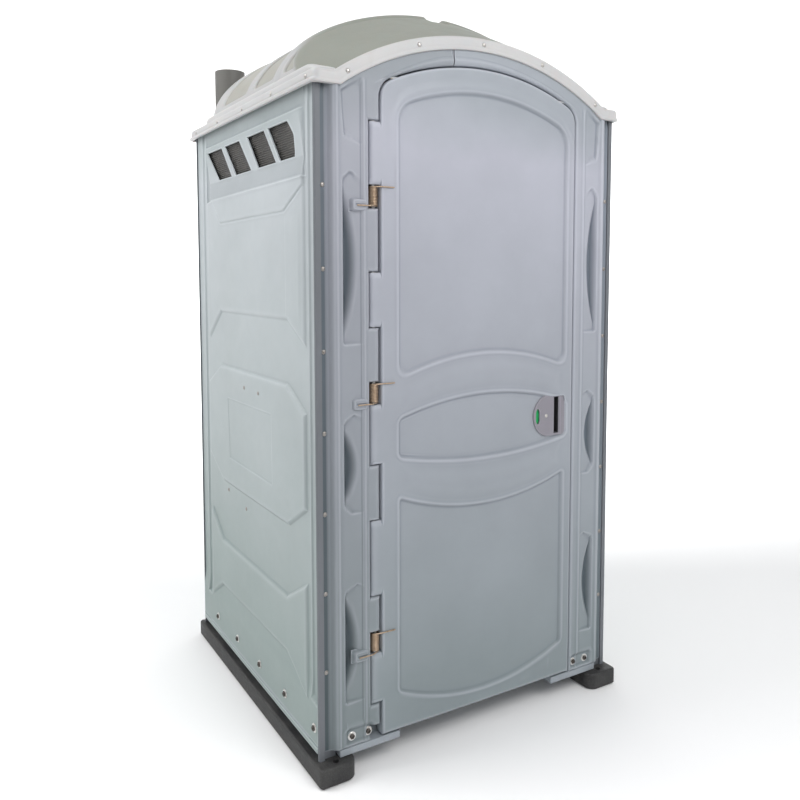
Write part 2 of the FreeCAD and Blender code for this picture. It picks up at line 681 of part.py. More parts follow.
def knuckles(zones, towards_door):
    """Moulded hinge knuckles: a round barrel on the axis and a web back to its own piece."""
    pieces = []
    sign = 1.0 if towards_door else -1.0
    web_end = (DOOR_LEFT + FRAME_WALL) if towards_door else (OPENING_LEFT - FRAME_WALL)
    for low, high in zones:
        z0, z1 = low + KNUCKLE_GAP / 2, high - KNUCKLE_GAP / 2
        front = at(HINGE_X, HINGE_F - BARREL_R, z0)
        back = at(HINGE_X, HINGE_F + BARREL_R, z0)
        round_side = at(HINGE_X - sign * BARREL_R, HINGE_F, z0)
        far_back = at(web_end, HINGE_F + BARREL_R, z0)
        far_front = at(web_end, HINGE_F - BARREL_R, z0)
        outline = Part.Wire([arc(front, round_side, back), line(back, far_back),
                             line(far_back, far_front), line(far_front, front)])
        solid = Part.Face(outline).extrude(V(0, 0, z1 - z0))
        pieces.append(solid)
    return pieces


def rod_hole():
    return rod(at(HINGE_X, HINGE_F, 0), Z_AXIS, ROD_R + HOLE_SLACK, EAVE_Z)


def spring_pads():
    """Raised pads on the hinge jamb that carry the lower legs of the springs."""
    pads = []
    for low, high in SPRING_ZONES:
        leg_z = low + 7.0
        outer = [(HINGE_X - 80.0, leg_z - 21), (HINGE_X - 22.0, leg_z - 21),
                 (HINGE_X - 22.0, leg_z + 19), (HINGE_X - 80.0, leg_z + 19)]
        pads.append(Part.makeLoft([ring(outer, on_frame, 10.0), ring(inset(outer, 5.0), on_frame,
                                                                    -PAD_RISE)], True, True))
    return pads


def swing_room():
    """Room that the leaf's hinge edge sweeps past the corner of the jamb as the door opens."""
    slack = 0.3
    leaf = front_block(arched_wire(DOOR_LEFT - slack, DOOR_RIGHT, DOOR_R + slack, DOOR_SHOULDER,
                                   DOOR_FOOT - slack, DOOR_FOOT - slack, -FRAME_FACE),
                       -FRAME_FACE, DOOR_REAR)
    edge = leaf.common(box(DOOR_LEFT - 1, DOOR_LEFT + 70, -30, 30, 0, EAVE_Z + 60))
    places = []
    for degrees in range(15, 80, 10):
        turned = edge.copy()
        turned.rotate(at(HINGE_X, HINGE_F, 0), V(0, 0, -1), degrees)
        places.append(turned)
    return places


def make_front_frame():
    """Both halves of the moulded front frame around the doorway, split at the header seam."""
    shell = Part.Face([frame_outline(0, -FRAME_FACE)]).extrude(V(0, FRAME_FACE + FRAME_REAR, 0))
    shell = shell.cut(opening_block(0, -FRAME_FACE - 5, FRAME_REAR + 5))
    cavity = Part.Face([frame_outline(FRAME_WALL, FRAME_WALL - FRAME_FACE)])
    cavity = cavity.extrude(V(0, FRAME_FACE + FRAME_REAR, 0))
    shell = shell.cut(cavity.cut(opening_block(FRAME_WALL, -FRAME_FACE, FRAME_REAR + 9)))
    stop = opening_block(1, FRAME_REAR - FRAME_WALL, FRAME_REAR)
    stop = stop.cut(front_block(arched_wire(OPENING_LEFT + 52, OPENING_RIGHT - STOP_WIDTH,
                                            OPENING_R - STOP_WIDTH, DOOR_SHOULDER - 20, 0.0, 0.0, 0),
                                0, FRAME_REAR + 9))
    stop = stop.cut(box(-HALF, HALF, 0, FRAME_REAR + 9, -10, PANEL_FOOT + 1))
    pieces = [shell, stop]
    for side in (-1, 1):
        low, high = sorted((side * (FRAME_HALF - FRAME_WALL), side * FLANGE_EDGE))
        pieces.append(box(low, high, 0, FRAME_WALL, PANEL_FOOT + 1, EAVE_Z + 20))
    pieces += knuckles(FRAME_KNUCKLES, False)
    frame = pieces[0].fuse(pieces[1:])
    frame = frame.fuse(spring_pads())
    for side in (-1, 1):
        low, high = sorted((side * (HALF - 65), side * (FLANGE_EDGE + 5)))
        frame = frame.cut(box(low, high, FRAME_WALL, FRAME_REAR + 9, 0, EAVE_Z + 60))
        fields = [([(side * x, z) for x, z in points], DOOR_SINK) for points in jamb_pockets()]
        near, far = HALF - 174, HALF - 88
        low_pocket = [(near, 90), (far, 90), (far, 127), (near, 127)]
        fields.append(([(side * x, z) for x, z in low_pocket], POCKET_DEPTH))
        frame = pressed(frame, fields, on_frame, FRAME_WALL, 5.0)
        frame = frame.fuse([scoop(side, zone, FRAME_WALL, DOOR_SINK + 1, SCOOP_DEPTH + FRAME_WALL)
                            for zone in SCOOP_ZONES])
        frame = frame.cut([scoop(side, zone, 0.0, -1, SCOOP_DEPTH) for zone in SCOOP_ZONES])
        frame = drilled(frame, post_rivets(side, False), Y_AXIS, RIVET_SHANK_R + HOLE_SLACK,
                        FRAME_WALL + 1)
        frame = drilled(frame, frame_bolts(side), Y_AXIS, BOLT_R + HOLE_SLACK, 12)
    frame = frame.cut(swing_room() + [rod_hole()])
    left = frame.common(box(-HALF, HEADER_SEAM_X, -80, 80, 0, DOME_TOP))
    right = frame.common(box(HEADER_SEAM_X, HALF, -80, 80, 0, DOME_TOP))
    return left.removeSplitter(), right.removeSplitter()


def upper_panel_wire(by, depth):
    left, right = UPPER_PANEL
    return arched_wire(DOOR_LEFT + left + by, DOOR_RIGHT - right - by, DOOR_R - 73.0 - by, 40.0,
                       1139.0 + by, 1203.0 + by, depth)


def make_door_outer():
    """Outer door skin: an arched tray with sunk panels, raised crescents and knuckles."""
    face = -FRAME_FACE
    rear = DOOR_REAR - FRAME_WALL

    def outline(by, depth):
        return arched_wire(DOOR_LEFT + by, DOOR_RIGHT - by, DOOR_R - by, DOOR_SHOULDER - by,
                           DOOR_FOOT + by, DOOR_FOOT + by, depth)

    tray = front_block(outline(0, face), face, rear)
    tray = tray.cut(front_block(outline(FRAME_WALL, face + FRAME_WALL), face + FRAME_WALL, rear + 9))
    tray = joined([tray] + knuckles(DOOR_KNUCKLES, True))
    lower_wall = face + DOOR_SINK
    backs = [Part.makeLoft([upper_panel_wire(-FRAME_WALL, face + 2),
                            upper_panel_wire(8 - FRAME_WALL, lower_wall + FRAME_WALL)], True, True)]
    hollows = [Part.makeLoft([upper_panel_wire(-1, face - 1), upper_panel_wire(8, lower_wall)],
                             True, True)]
    for sizes in (LATCH_BAND, LOWER_PANEL):
        backs.append(Part.makeLoft([door_band(sizes, -FRAME_WALL, face + 2),
                                    door_band(sizes, 8 - FRAME_WALL, lower_wall + FRAME_WALL)],
                                   True, True))
        hollows.append(Part.makeLoft([door_band(sizes, -1, face - 1), door_band(sizes, 8, lower_wall)],
                                     True, True))
    backs.append(front_block(latch_outline(FRAME_WALL + PLATE_GAP, face + 2), face + 2,
                             lower_wall + FRAME_WALL))
    hollows.append(front_block(latch_outline(PLATE_GAP, face - 1), face - 1, lower_wall))
    tray = tray.fuse(backs).cut(hollows)
    rises, dents = [], []
    for sizes in (UPPER_CRESCENT, LOWER_CRESCENT):
        rises.append(Part.makeLoft([door_band(sizes, 0, face + 1), door_band(sizes, 14, face - 5)],
                                   True, True))
        dents.append(Part.makeLoft([door_band(sizes, 4, face + FRAME_WALL + 1),
                                    door_band(sizes, 18, face - 1)], True, True))
    tray = tray.fuse(rises).cut(dents)
    sweep = rod(at(LATCH_X, face, LATCH_Z), Y_AXIS, FLAG_R + 2, 20)
    sweep = sweep.cut(box(LATCH_X + SLOT_LEFT - 4, HALF, -60, 60, 0, EAVE_Z))
    tray = tray.cut([sweep, slot_block(CUP_WALL + 0.3, face, 10), rod_hole()])
    return tray.removeSplitter()


def make_door_inner():
    """Inner door skin: a plate that closes the tray, with two sunk fields."""
    plate = front_block(arched_wire(DOOR_LEFT, DOOR_RIGHT, DOOR_R, DOOR_SHOULDER, DOOR_FOOT,
                                    DOOR_FOOT, DOOR_REAR - FRAME_WALL), DOOR_REAR - FRAME_WALL,
                        DOOR_REAR)
    left, right = DOOR_LEFT + 76.5, DOOR_RIGHT - 73
    fields = [([(left, 180), (right, 180), (right, 820), (left, 820)], 6.0),
              ([(left, 1120), (right, 1120), (right, 1820), (right - 90, 1890), (left + 90, 1890),
                (left, 1820)], 6.0)]
    plate = pressed(plate, fields, on_door_inside, FRAME_WALL, 8.0)
    return plate.cut(rod(at(LATCH_X, 0, LATCH_Z), Y_AXIS, SPINDLE_R + HOLE_SLACK, 60))


def biarc(start, start_way, end, end_way):
    """Two tangent arcs from a point and direction to another point and direction."""
    across = end - start
    ways = start_way + end_way
    spread = 2 * (1 - start_way.dot(end_way))
    reach = across.dot(ways)
    if spread < 1e-6:
        length = across.dot(across) / (4 * across.dot(end_way))
    else:
        length = (-reach + math.sqrt(reach ** 2 + spread * across.dot(across))) / spread
    first = start + start_way * length
    second = end - end_way * length
    meet = (first + second) * 0.5
    arcs = []
    for a, corner, b in ((start, first, meet), (meet, second, end)):
        middle = (a + b) * 0.5
        rise = (corner - middle).Length
        chord = (b - a).Length / 2
        slope = rise / chord
        if slope < 1e-4:
            arcs.append(line(a, b))
            continue
        sag = chord * (math.sqrt(1 + slope ** 2) - 1) / slope
        arcs.append(arc(a, middle + (corner - middle) * (sag / rise), b))
    return arcs


def spring_path(low, high):
    """Wire centre line: a leg on the door, the turns from top to bottom, a leg on the jamb."""
    z_top = (low + high) / 2 + COIL_PITCH * COIL_TURNS / 2
    slope = COIL_PITCH / (2 * math.pi * COIL_R)
    size = math.sqrt(1 + slope ** 2)

    def helix(turns):
        angle = -math.pi / 2 - 2 * math.pi * turns
        return V(HINGE_X + COIL_R * math.cos(angle), FRONT_Y + HINGE_F + COIL_R * math.sin(angle),
                 z_top - COIL_PITCH * turns)

    def way(turns):
        angle = -math.pi / 2 - 2 * math.pi * turns
        return V(math.sin(angle) / size, -math.cos(angle) / size, -slope / size)

    leg_face = -FRAME_FACE - WIRE_R - LEG_REST
    pad_face = leg_face - PAD_RISE
    left = V(-1, 0, 0)
    step = V(-0.62, 0.784602, 0)
    door_tip = at(HINGE_X + LEG_REACH, leg_face, z_top + 0.4)
    door_bend = at(HINGE_X + 17.0, leg_face, z_top + 0.4)
    door_slope = at(HINGE_X + 8.5, (leg_face + HINGE_F - COIL_R) / 2, z_top + 0.3)
    path = [line(door_tip, door_bend)]
    path += biarc(door_bend, left, door_slope, step)
    path += biarc(door_slope, step, helix(0), way(0))
    for half in range(2 * COIL_TURNS):
        path += biarc(helix(half / 2), way(half / 2), helix((half + 1) / 2), way((half + 1) / 2))
    z_low = helix(COIL_TURNS).z - 0.4
    jamb_slope = at(HINGE_X - 14.0, (pad_face + HINGE_F - COIL_R) / 2, z_low + 0.1)
    jamb_bend = at(HINGE_X - 26.0, pad_face, z_low)
    jamb_tip = at(HINGE_X - LEG_REACH, pad_face, z_low)
    outward = V(-0.7, -0.714, 0)
    path += biarc(helix(COIL_TURNS), way(COIL_TURNS), jamb_slope, outward)
    path += biarc(jamb_slope, outward, jamb_bend, left)
    path.append(line(jamb_bend, jamb_tip))
    return path


def make_spring(low, high):
    """One hinge spring as an unbroken wire along its path."""
    edges = spring_path(low, high)
    profile = many_sided(WIRE_R, 0, WIRE_SIDES)
    profile.Placement = FreeCAD.Placement(edges[0].Vertexes[0].Point,
                                          FreeCAD.Rotation(Z_AXIS, X_AXIS))
    spring = Part.Wire(edges).makePipeShell([profile], True, False)
    points = []
    for edge in edges:
        steps = max(2, int(edge.Length / 3.0))
        points += edge.discretize(steps)[:-1]
    spacing = sum((b - a).Length for a, b in zip(points, points[1:])) / (len(points) - 1)
    apart = int(math.pi * COIL_R / spacing)
    least = min((a - b).Length for i, a in enumerate(points) for b in points[i + apart:])
    print("hinge spring turns %d, least gap to itself %.2f mm" % (COIL_TURNS, least - 2 * WIRE_R))
    return spring


def latch_outline(by, depth):
    """D shape of the latch plate, grown by a distance: a round left side, square right corners
    with a small radius."""
    left, right, half = LATCH_LEFT + by, LATCH_RIGHT + by, LATCH_HALF_HEIGHT + by
    corner = 14.0 + by
    turn = corner * (1 - math.sqrt(0.5))

    def spot(x, z):
        return at(LATCH_X + x, depth, LATCH_Z + z)

    return Part.Wire([
        arc(spot(0, -half), spot(-left, 0), spot(0, half)),
        line(spot(0, half), spot(right - corner, half)),
        arc(spot(right - corner, half), spot(right - turn, half - turn), spot(right, half - corner)),
        line(spot(right, half - corner), spot(right, corner - half)),
        arc(spot(right, corner - half), spot(right - turn, turn - half), spot(right - corner, -half)),
        line(spot(right - corner, -half), spot(0, -half))])


def slot_block(by, depth0, depth1):
    half = LATCH_HALF_HEIGHT - SLOT_MARGIN + by
    return box(LATCH_X + SLOT_LEFT - by, LATCH_X + SLOT_RIGHT + by, depth0, depth1, LATCH_Z - half,
               LATCH_Z + half)


def make_latch_plate():
    """D-shaped plate with an indicator window, a finger slot and its cup."""
    face = -FRAME_FACE + DOOR_SINK
    depth = face - LATCH_THICK
    plate = front_block(latch_outline(0, depth), depth, face)
    plate = plate.fuse(slot_block(CUP_WALL, depth + 1, depth + SLOT_DEPTH))
    plate = plate.cut(slot_block(0, depth - 1, depth + SLOT_DEPTH - CUP_WALL))
    window = [(-43, -14), (-38, -25), (-32, -25), (-27, -14), (-27, 14), (-32, 25), (-38, 25), (-43, 14)]

    def place(u, v, level):
        return at(LATCH_X + u, depth + level, LATCH_Z + v)

    plate = plate.cut([slab(window, place, -1, LATCH_THICK + 1)])
    return plate.cut(rod(at(LATCH_X, -80, LATCH_Z), Y_AXIS, SPINDLE_R + HOLE_SLACK, 100))


def make_latch_parts():
    """Spindle with its domed end, indicator flag behind the window, and bolt inside the door."""
    face = -FRAME_FACE + DOOR_SINK
    front = face - LATCH_THICK
    knob_start = DOOR_REAR + 0.3
    bolt_start = FRAME_REAR + STRIKE_THICK + 0.5
    bolt_end = bolt_start + BOLT_THICK
    head = Part.makeSphere(7.5, at(LATCH_X, front + 4.5, LATCH_Z))
    head = head.common(box(LATCH_X - 9, LATCH_X + 9, front - 9, front - 0.3, LATCH_Z - 9, LATCH_Z + 9))
    spindle = head.fuse(rod(at(LATCH_X, front - 1, LATCH_Z), Y_AXIS, SPINDLE_R, bolt_end - front + 1))
    sector = []
    for degrees in (142, 183.5, 225, 266.5, 308):
        angle = math.radians(degrees)
        sector.append(at(LATCH_X + FLAG_R * math.cos(angle), face + 0.4,
                         LATCH_Z + FLAG_R * math.sin(angle)))
    centre = at(LATCH_X, face + 0.4, LATCH_Z)
    outline = Part.Wire([line(centre, sector[0]), arc(sector[0], sector[1], sector[2]),
                         arc(sector[2], sector[3], sector[4]), line(sector[4], centre)])
    flag = Part.Face(outline).extrude(V(0, FLAG_THICK, 0))
    flag = flag.fuse(rod(centre, Y_AXIS, SPINDLE_R + 4, FLAG_THICK))
    flag = flag.cut(rod(at(LATCH_X, front - 5, LATCH_Z), Y_AXIS, SPINDLE_R + HOLE_SLACK, 40))
    hub = rod(at(LATCH_X, knob_start, LATCH_Z), Y_AXIS, 21.0, bolt_end + 10 - knob_start)
    bar = [(-13, -62), (13, -62), (13, 60), (8, BOLT_REACH), (-8, BOLT_REACH), (-13, 60)]

    def place(u, v, level):
        return at(LATCH_X + u, bolt_start + level, LATCH_Z + v)

    bolt = hub.fuse(slab(bar, place, 0, BOLT_THICK))
    grip = [(-4, -56), (4, -56), (6, 40), (-6, 40)]
    bolt = bolt.fuse(slab(grip, place, BOLT_THICK - 1, BOLT_THICK + 22, 1.0))
    bolt = bolt.cut(rod(at(LATCH_X, 0, LATCH_Z), Y_AXIS, SPINDLE_R, bolt_end))
    return spindle, flag, bolt


def make_strike():
    """Thin wear plate on the frame where the bolt bears."""
    return box(OPENING_RIGHT - STOP_WIDTH, OPENING_RIGHT - 1, FRAME_REAR, FRAME_REAR + STRIKE_THICK,
               LATCH_Z - 32, LATCH_Z + 32)


def smooth(share):
    share = min(1.0, max(0.0, share))
    return share * share * (3 - 2 * share)


def dome_height(x, depth, base, thinner):
    """Crown height at a point: the front arch blends into a vault that rounds off behind."""
    front = ARCH_Z + math.sqrt((ARCH_R + FASCIA_HEIGHT - 1 - thinner) ** 2 - x ** 2)
    behind = min(1.0, max(0.0, (depth - DOME_SHOULDER) / (DOME_END - DOME_SHOULDER)))
    taper = (1.0 - behind ** 2.3) ** 0.7
    half = (HALF - DOME_INSET - thinner) * taper
    vault = base + (DOME_TOP - thinner - base) * taper * (1.0 - min(1.5, abs(x / half)) ** DOME_POWER)
    blend = smooth((depth + ROOF_NOSE) / (DOME_CREST + ROOF_NOSE))
    return front * (1 - blend) + vault * blend


def dome_section(depth, base, thinner, out=0.0, up=0.0):
    """Closed section of the dome at a depth, down to a base level."""
    low, high = 10.0, HALF
    for _ in range(40):
        middle = (low + high) / 2
        if dome_height(middle, depth, base, thinner) > base:
            low = middle
        else:
            high = middle
    half = low
    points = []
    for k in range(11):
        share = math.cos(math.pi * k / 10)
        x = half * share
        z = dome_height(x, depth, base, thinner) if 0 < k < 10 else base
        points.append(at(x + out * share, depth, z + up * (1 - share * share)))
    curve = Part.BSplineCurve()
    curve.interpolate(points)
    return Part.Wire([curve.toShape(), line(points[-1], points[0])])


def dome_depths(first, last):
    """Section places: even over the crest, closer together where the dome rounds off."""
    steps = [30.0, 80.0, 130.0, 180.0, 240.0, DOME_CREST, 500.0, DOME_SHOULDER, 760.0, 820.0,
             870.0, 910.0, 937.0]
    return [first] + steps + [last]


def fascia_face(by):
    """Front outline of the roof: flat ears and the arch above the doorway."""
    depth = -ROOF_NOSE
    half = HALF + SKIRT_WALL + SKIRT_BEAD - by
    top = EAVE_Z + FASCIA_HEIGHT - by
    upper_r = ARCH_R + FASCIA_HEIGHT - by
    meet_top = math.sqrt(upper_r ** 2 - (top - ARCH_Z) ** 2)
    low = EAVE_Z
    points = [at(-half, depth, low), at(half, depth, low), at(half, depth, top),
              at(meet_top, depth, top), at(-meet_top, depth, top), at(-half, depth, top)]
    return Part.Face(Part.Wire([line(points[0], points[1]), line(points[1], points[2]),
                                line(points[2], points[3]),
                                arc(points[3], at(0, depth, ARCH_Z + upper_r), points[4]),
                                line(points[4], points[5]), line(points[5], points[0])]))


def under_arch():
    """Space below the fascia's arched lower edge."""
    depth = -ROOF_NOSE - 5
    ends = [at(ARCH_HALF, depth, EAVE_Z), at(-ARCH_HALF, depth, EAVE_Z)]
    face = Part.Face(Part.Wire([arc(ends[0], at(0, depth, ARCH_Z + ARCH_R), ends[1]),
                                line(ends[1], ends[0])]))
    return face.extrude(V(0, 60, 0))


def make_roof():
    """Roof moulding: skirt with bead, front fascia, stepped deck and a ribbed dome."""
    end = BODY_DEPTH + ROOF_TAIL
    skirt = HALF + SKIRT_WALL
    front_end = 40.0
    outer = [box(-skirt, skirt, -ROOF_NOSE + 3, end - SKIRT_BEAD, EAVE_Z, LEDGE_Z),
             box(-skirt - SKIRT_BEAD, skirt + SKIRT_BEAD, -ROOF_NOSE, end, EAVE_Z, EAVE_Z + BEAD_HEIGHT)]
    deck = box(-skirt + DECK_INSET, skirt - DECK_INSET, 6, DECK_END, LEDGE_Z - 1, DECK_Z)
    top_edges = [e for e in deck.Edges if e.BoundBox.ZMin > DECK_Z - 0.1]
    outer.append(deck.makeChamfer(6.0, top_edges))
    outer.append(fascia_face(0).extrude(V(0, front_end, 0)))
    outer.append(Part.makeLoft([dome_section(depth, LEDGE_Z - 1, 0.0)
                                for depth in dome_depths(4 - ROOF_NOSE, DOME_END - 6)], True, True))
    for k in range(3):
        depth = RIB_FIRST + RIB_PITCH * k
        rib = Part.Face(dome_section(depth, LEDGE_Z - 1, 0.0, RIB_RISE)).extrude(V(0, RIB_WIDTH, 0))
        outer.append(rib.cut(box(180 - HALF, HALF - 180, depth - 5, depth + RIB_WIDTH + 5, 0,
                                 DOME_TOP + 50)))
    collar = rod(at(PIPE_X, PIPE_DEPTH, LEDGE_Z - 2), Z_AXIS, PIPE_R + PIPE_COLLAR, DECK_RISE + 14)
    outer.append(collar)
    solid = outer[0].fuse(outer[1:])
    skirt_room = box(-HALF, HALF, -ROOF_NOSE + 4, end - SKIRT_BEAD - SKIRT_WALL, EAVE_Z - 5, PANEL_TOP)
    deck_room = box(-skirt + DECK_INSET + ROOF_WALL, skirt - DECK_INSET - ROOF_WALL, 10,
                    DECK_END - ROOF_WALL, PANEL_TOP - 1, DECK_Z - ROOF_WALL)
    front_room = fascia_face(ROOF_WALL).extrude(V(0, 60, 0))
    front_room.translate(V(0, ROOF_WALL, 0))
    front_room = front_room.common(box(-HALF, HALF, -ROOF_NOSE + ROOF_WALL, 40, EAVE_Z - 5, DOME_TOP))
    dome_room = Part.makeLoft([dome_section(depth, PANEL_TOP - 1, ROOF_WALL)
                               for depth in dome_depths(4 - ROOF_NOSE + ROOF_WALL, DOME_END - 14)[::2]],
                              True, True)
    roof = solid.cut([skirt_room, deck_room, front_room, dome_room, under_arch()])
    roof = roof.cut(rod(at(PIPE_X, PIPE_DEPTH, EAVE_Z), Z_AXIS, PIPE_R + 0.3, 200))
    for point, outward in skirt_rivets() + fascia_rivets():
        roof = roof.cut(rod(point, outward * -1, RIVET_SHANK_R + HOLE_SLACK, WALL))
    return roof


def make_pipe():
    """Vent stack from the tank's tower to above the roof."""
    foot = at(PIPE_X, PIPE_DEPTH, TANK_TOP + TOWER_RISE - 30)
    length = PIPE_TOP - foot.z
    outer = rod(foot, Z_AXIS, PIPE_R, length)
    return outer.cut(rod(foot, Z_AXIS, PIPE_R - PIPE_WALL, length))


def oval_block(half_x, half_y, z0, z1):
    """An upright block around the seat's centre, with an oval plan of four tangent arcs."""
    small, large = min(half_x, half_y), max(half_x, half_y)
    end_r = (small + small ** 2 / large) / 2
    end_c = large - end_r
    flank_r = (end_c ** 2 + small ** 2 - end_r ** 2) / (2 * (small - end_r))
    flank_c = flank_r - small
    reach = math.hypot(end_c, flank_c)
    touch = (end_c + end_r * end_c / reach, end_r * flank_c / reach)

    def spot(along, across):
        x, y = (along, across) if half_x >= half_y else (across, along)
        return at(x, SEAT_CENTRE + y, z0)

    marks = [(touch[0], touch[1]), (touch[0], -touch[1]), (-touch[0], -touch[1]),
             (-touch[0], touch[1])]
    tops = [(large, 0), (0, -small), (-large, 0), (0, small)]
    edges = [arc(spot(*marks[k]), spot(*tops[k]), spot(*marks[(k + 1) % 4])) for k in range(4)]
    return Part.Face(Part.Wire(edges)).extrude(V(0, 0, z1 - z0))


def make_tank():
    """Holding tank with a bowl opening, a vent tower and a socket for the urinal drain."""
    wall = TANK_WALL
    profile = [(TANK_FRONT, FLOOR_Z), (TANK_FRONT, TANK_TOP - 14), (TANK_FRONT + 14, TANK_TOP),
               (TANK_REAR, TANK_TOP), (TANK_REAR, FLOOR_Z)]

    def across(u, v, level):
        return at(level, u, v)

    tower = (-TANK_HALF, -TANK_HALF + TOWER_WIDTH, TANK_REAR - TOWER_DEPTH, TANK_REAR)
    outer = slab(profile, across, -TANK_HALF, TANK_HALF)
    outer = outer.fuse(box(*tower, TANK_TOP - 20, TANK_TOP + TOWER_RISE))
    inner = slab(inset(profile, wall), across, -TANK_HALF + wall, TANK_HALF - wall)
    inner = inner.fuse(box(tower[0] + wall, tower[1] - wall, tower[2] + wall, tower[3] - wall,
                           TANK_TOP - 30, TANK_TOP + TOWER_RISE - wall))
    tank = outer.cut(inner)
    tank = tank.cut(oval_block(BOWL_WIDE, BOWL_LONG, TANK_TOP - 20, TANK_TOP + 20))
    tank = tank.cut(rod(at(PIPE_X, PIPE_DEPTH, TANK_TOP), Z_AXIS, PIPE_R + HOLE_SLACK, 200))
    top, way, length = drain_line()
    return tank.cut(rod(top, way, DRAIN_R + HOLE_SLACK, length + 60))


def make_seat():
    """Oval seat ring with two ears for the lid's pin."""
    top = TANK_TOP + SEAT_THICK
    seat = oval_block(SEAT_WIDE, SEAT_LONG, TANK_TOP, top)
    seat = seat.cut(oval_block(BOWL_WIDE + 8, BOWL_LONG + 8, TANK_TOP - 1, top + 1))
    seat = seat.makeChamfer(SEAT_EDGE_R, [e for e in seat.Edges if e.BoundBox.ZMin > top - 0.1])
    pin_depth = SEAT_CENTRE + SEAT_LONG + LID_PIN_BEHIND
    ears = []
    for side in (-1, 1):
        low, high = sorted((side * (LID_PIN_HALF - 12), side * LID_PIN_HALF))
        ears.append(box(low, high, SEAT_CENTRE + SEAT_LONG - 40, pin_depth + 9, TANK_TOP, top + 6))
    seat = seat.fuse(ears)
    return seat.cut(lid_pin_hole(HOLE_SLACK))


def lid_pin_hole(slack):
    pin = at(-LID_PIN_HALF - 2, SEAT_CENTRE + SEAT_LONG + LID_PIN_BEHIND, TANK_TOP + SEAT_THICK - 3)
    return rod(pin, X_AXIS, LID_PIN_R + slack, 2 * LID_PIN_HALF + 4)


def make_lid():
    """Oval lid with a crowned top and a knuckle on the pin."""
    low = TANK_TOP + SEAT_THICK + LID_GAP
    lid = oval_block(SEAT_WIDE, SEAT_LONG, low, low + LID_THICK)
    lid = lid.makeChamfer(LID_THICK * 0.6, [e for e in lid.Edges if e.BoundBox.ZMin > low + 1])
    hollow = oval_block(SEAT_WIDE - 16, SEAT_LONG - 16, low - 1, low + LID_THICK - 4)
    lid = lid.cut(hollow)
    pin_depth = SEAT_CENTRE + SEAT_LONG + LID_PIN_BEHIND
    half = LID_PIN_HALF - 12.8
    cheek_room = []
    for side in (-1, 1):
        near, far = sorted((side * (half - 0.2), side * (LID_PIN_HALF + 1)))
        cheek_room.append(box(near, far, SEAT_CENTRE + SEAT_LONG - 41, pin_depth + 20, low - 5, low + 40))
    lid = lid.cut(cheek_room)
    knuckle = rod(at(-half, pin_depth, TANK_TOP + SEAT_THICK - 3), X_AXIS, LID_PIN_R + 4, 2 * half)
    arm = box(-half, half, SEAT_CENTRE + SEAT_LONG - 20, pin_depth + 3, low, low + 6)
    return lid.fuse([knuckle, arm]).cut(lid_pin_hole(HOLE_SLACK))


def make_lid_pin():
    pin = at(-LID_PIN_HALF, SEAT_CENTRE + SEAT_LONG + LID_PIN_BEHIND, TANK_TOP + SEAT_THICK - 3)
    return rod(pin, X_AXIS, LID_PIN_R, 2 * LID_PIN_HALF)


def drain_x():
    return FIELD_INNER - URINAL_WALL - 62.0


def bowl_outline(half, reach, z):
    """Straight flanks that end in a half circle, closed along the wall."""
    wall_x = FIELD_INNER - URINAL_WALL
    nose_x = wall_x - (reach - half)
    ends = [at(wall_x, URINAL_DEPTH + sign * half, z) for sign in (-1, 1)]
    turns = [at(nose_x, URINAL_DEPTH + sign * half, z) for sign in (-1, 1)]
    return Part.Wire([line(ends[0], turns[0]),
                      arc(turns[0], at(wall_x - reach, URINAL_DEPTH, z), turns[1]),
                      line(turns[1], ends[1]), line(ends[1], ends[0])])


def make_urinal():
    """Wall urinal: back plate and a tapering bowl that is open above."""
    wall = URINAL_WALL
    levels = ((URINAL_FOOT_Z, 0.62, 0.7), (URINAL_LIP_Z, 1.0, 1.0))
    outer = Part.makeLoft([bowl_outline(URINAL_HALF * a, URINAL_REACH * b, z) for z, a, b in levels],
                          True, True)
    inner = Part.makeLoft([bowl_outline(URINAL_HALF * a - wall, URINAL_REACH * b - wall, z + lift)
                           for (z, a, b), lift in zip(levels, (wall, 1.0))], True, True)
    plate = box(FIELD_INNER - wall, FIELD_INNER, URINAL_DEPTH - URINAL_HALF - 10,
                URINAL_DEPTH + URINAL_HALF + 10, URINAL_FOOT_Z, SPLASH_TOP)
    edges = [e for e in plate.Edges if e.BoundBox.XLength > wall - 0.1]
    plate = plate.makeFillet(24.0, edges)
    bowl = outer.cut(inner).fuse(plate)
    return bowl.cut(rod(at(drain_x(), URINAL_DEPTH, URINAL_FOOT_Z - 20), Z_AXIS,
                        DRAIN_R - DRAIN_WALL, 40))


def drain_line():
    """Start, direction and length of the drain, from the bowl's foot to inside the tank."""
    top = at(drain_x(), URINAL_DEPTH, URINAL_FOOT_Z)
    end = at(drain_x(), TANK_FRONT + TANK_WALL + 12, DRAIN_Z)
    way = (end - top).normalize()
    return top, way, (end - top).Length


def make_drain():
    """Rigid sloping pipe from the urinal into the front of the tank."""
    top, way, length = drain_line()
    start = top - way * 40
    pipe = rod(start, way, DRAIN_R, length + 40).cut(rod(start, way, DRAIN_R - DRAIN_WALL, length + 40))
    return pipe.cut(box(0, HALF, 0, TANK_FRONT, URINAL_FOOT_Z, URINAL_FOOT_Z + 80))


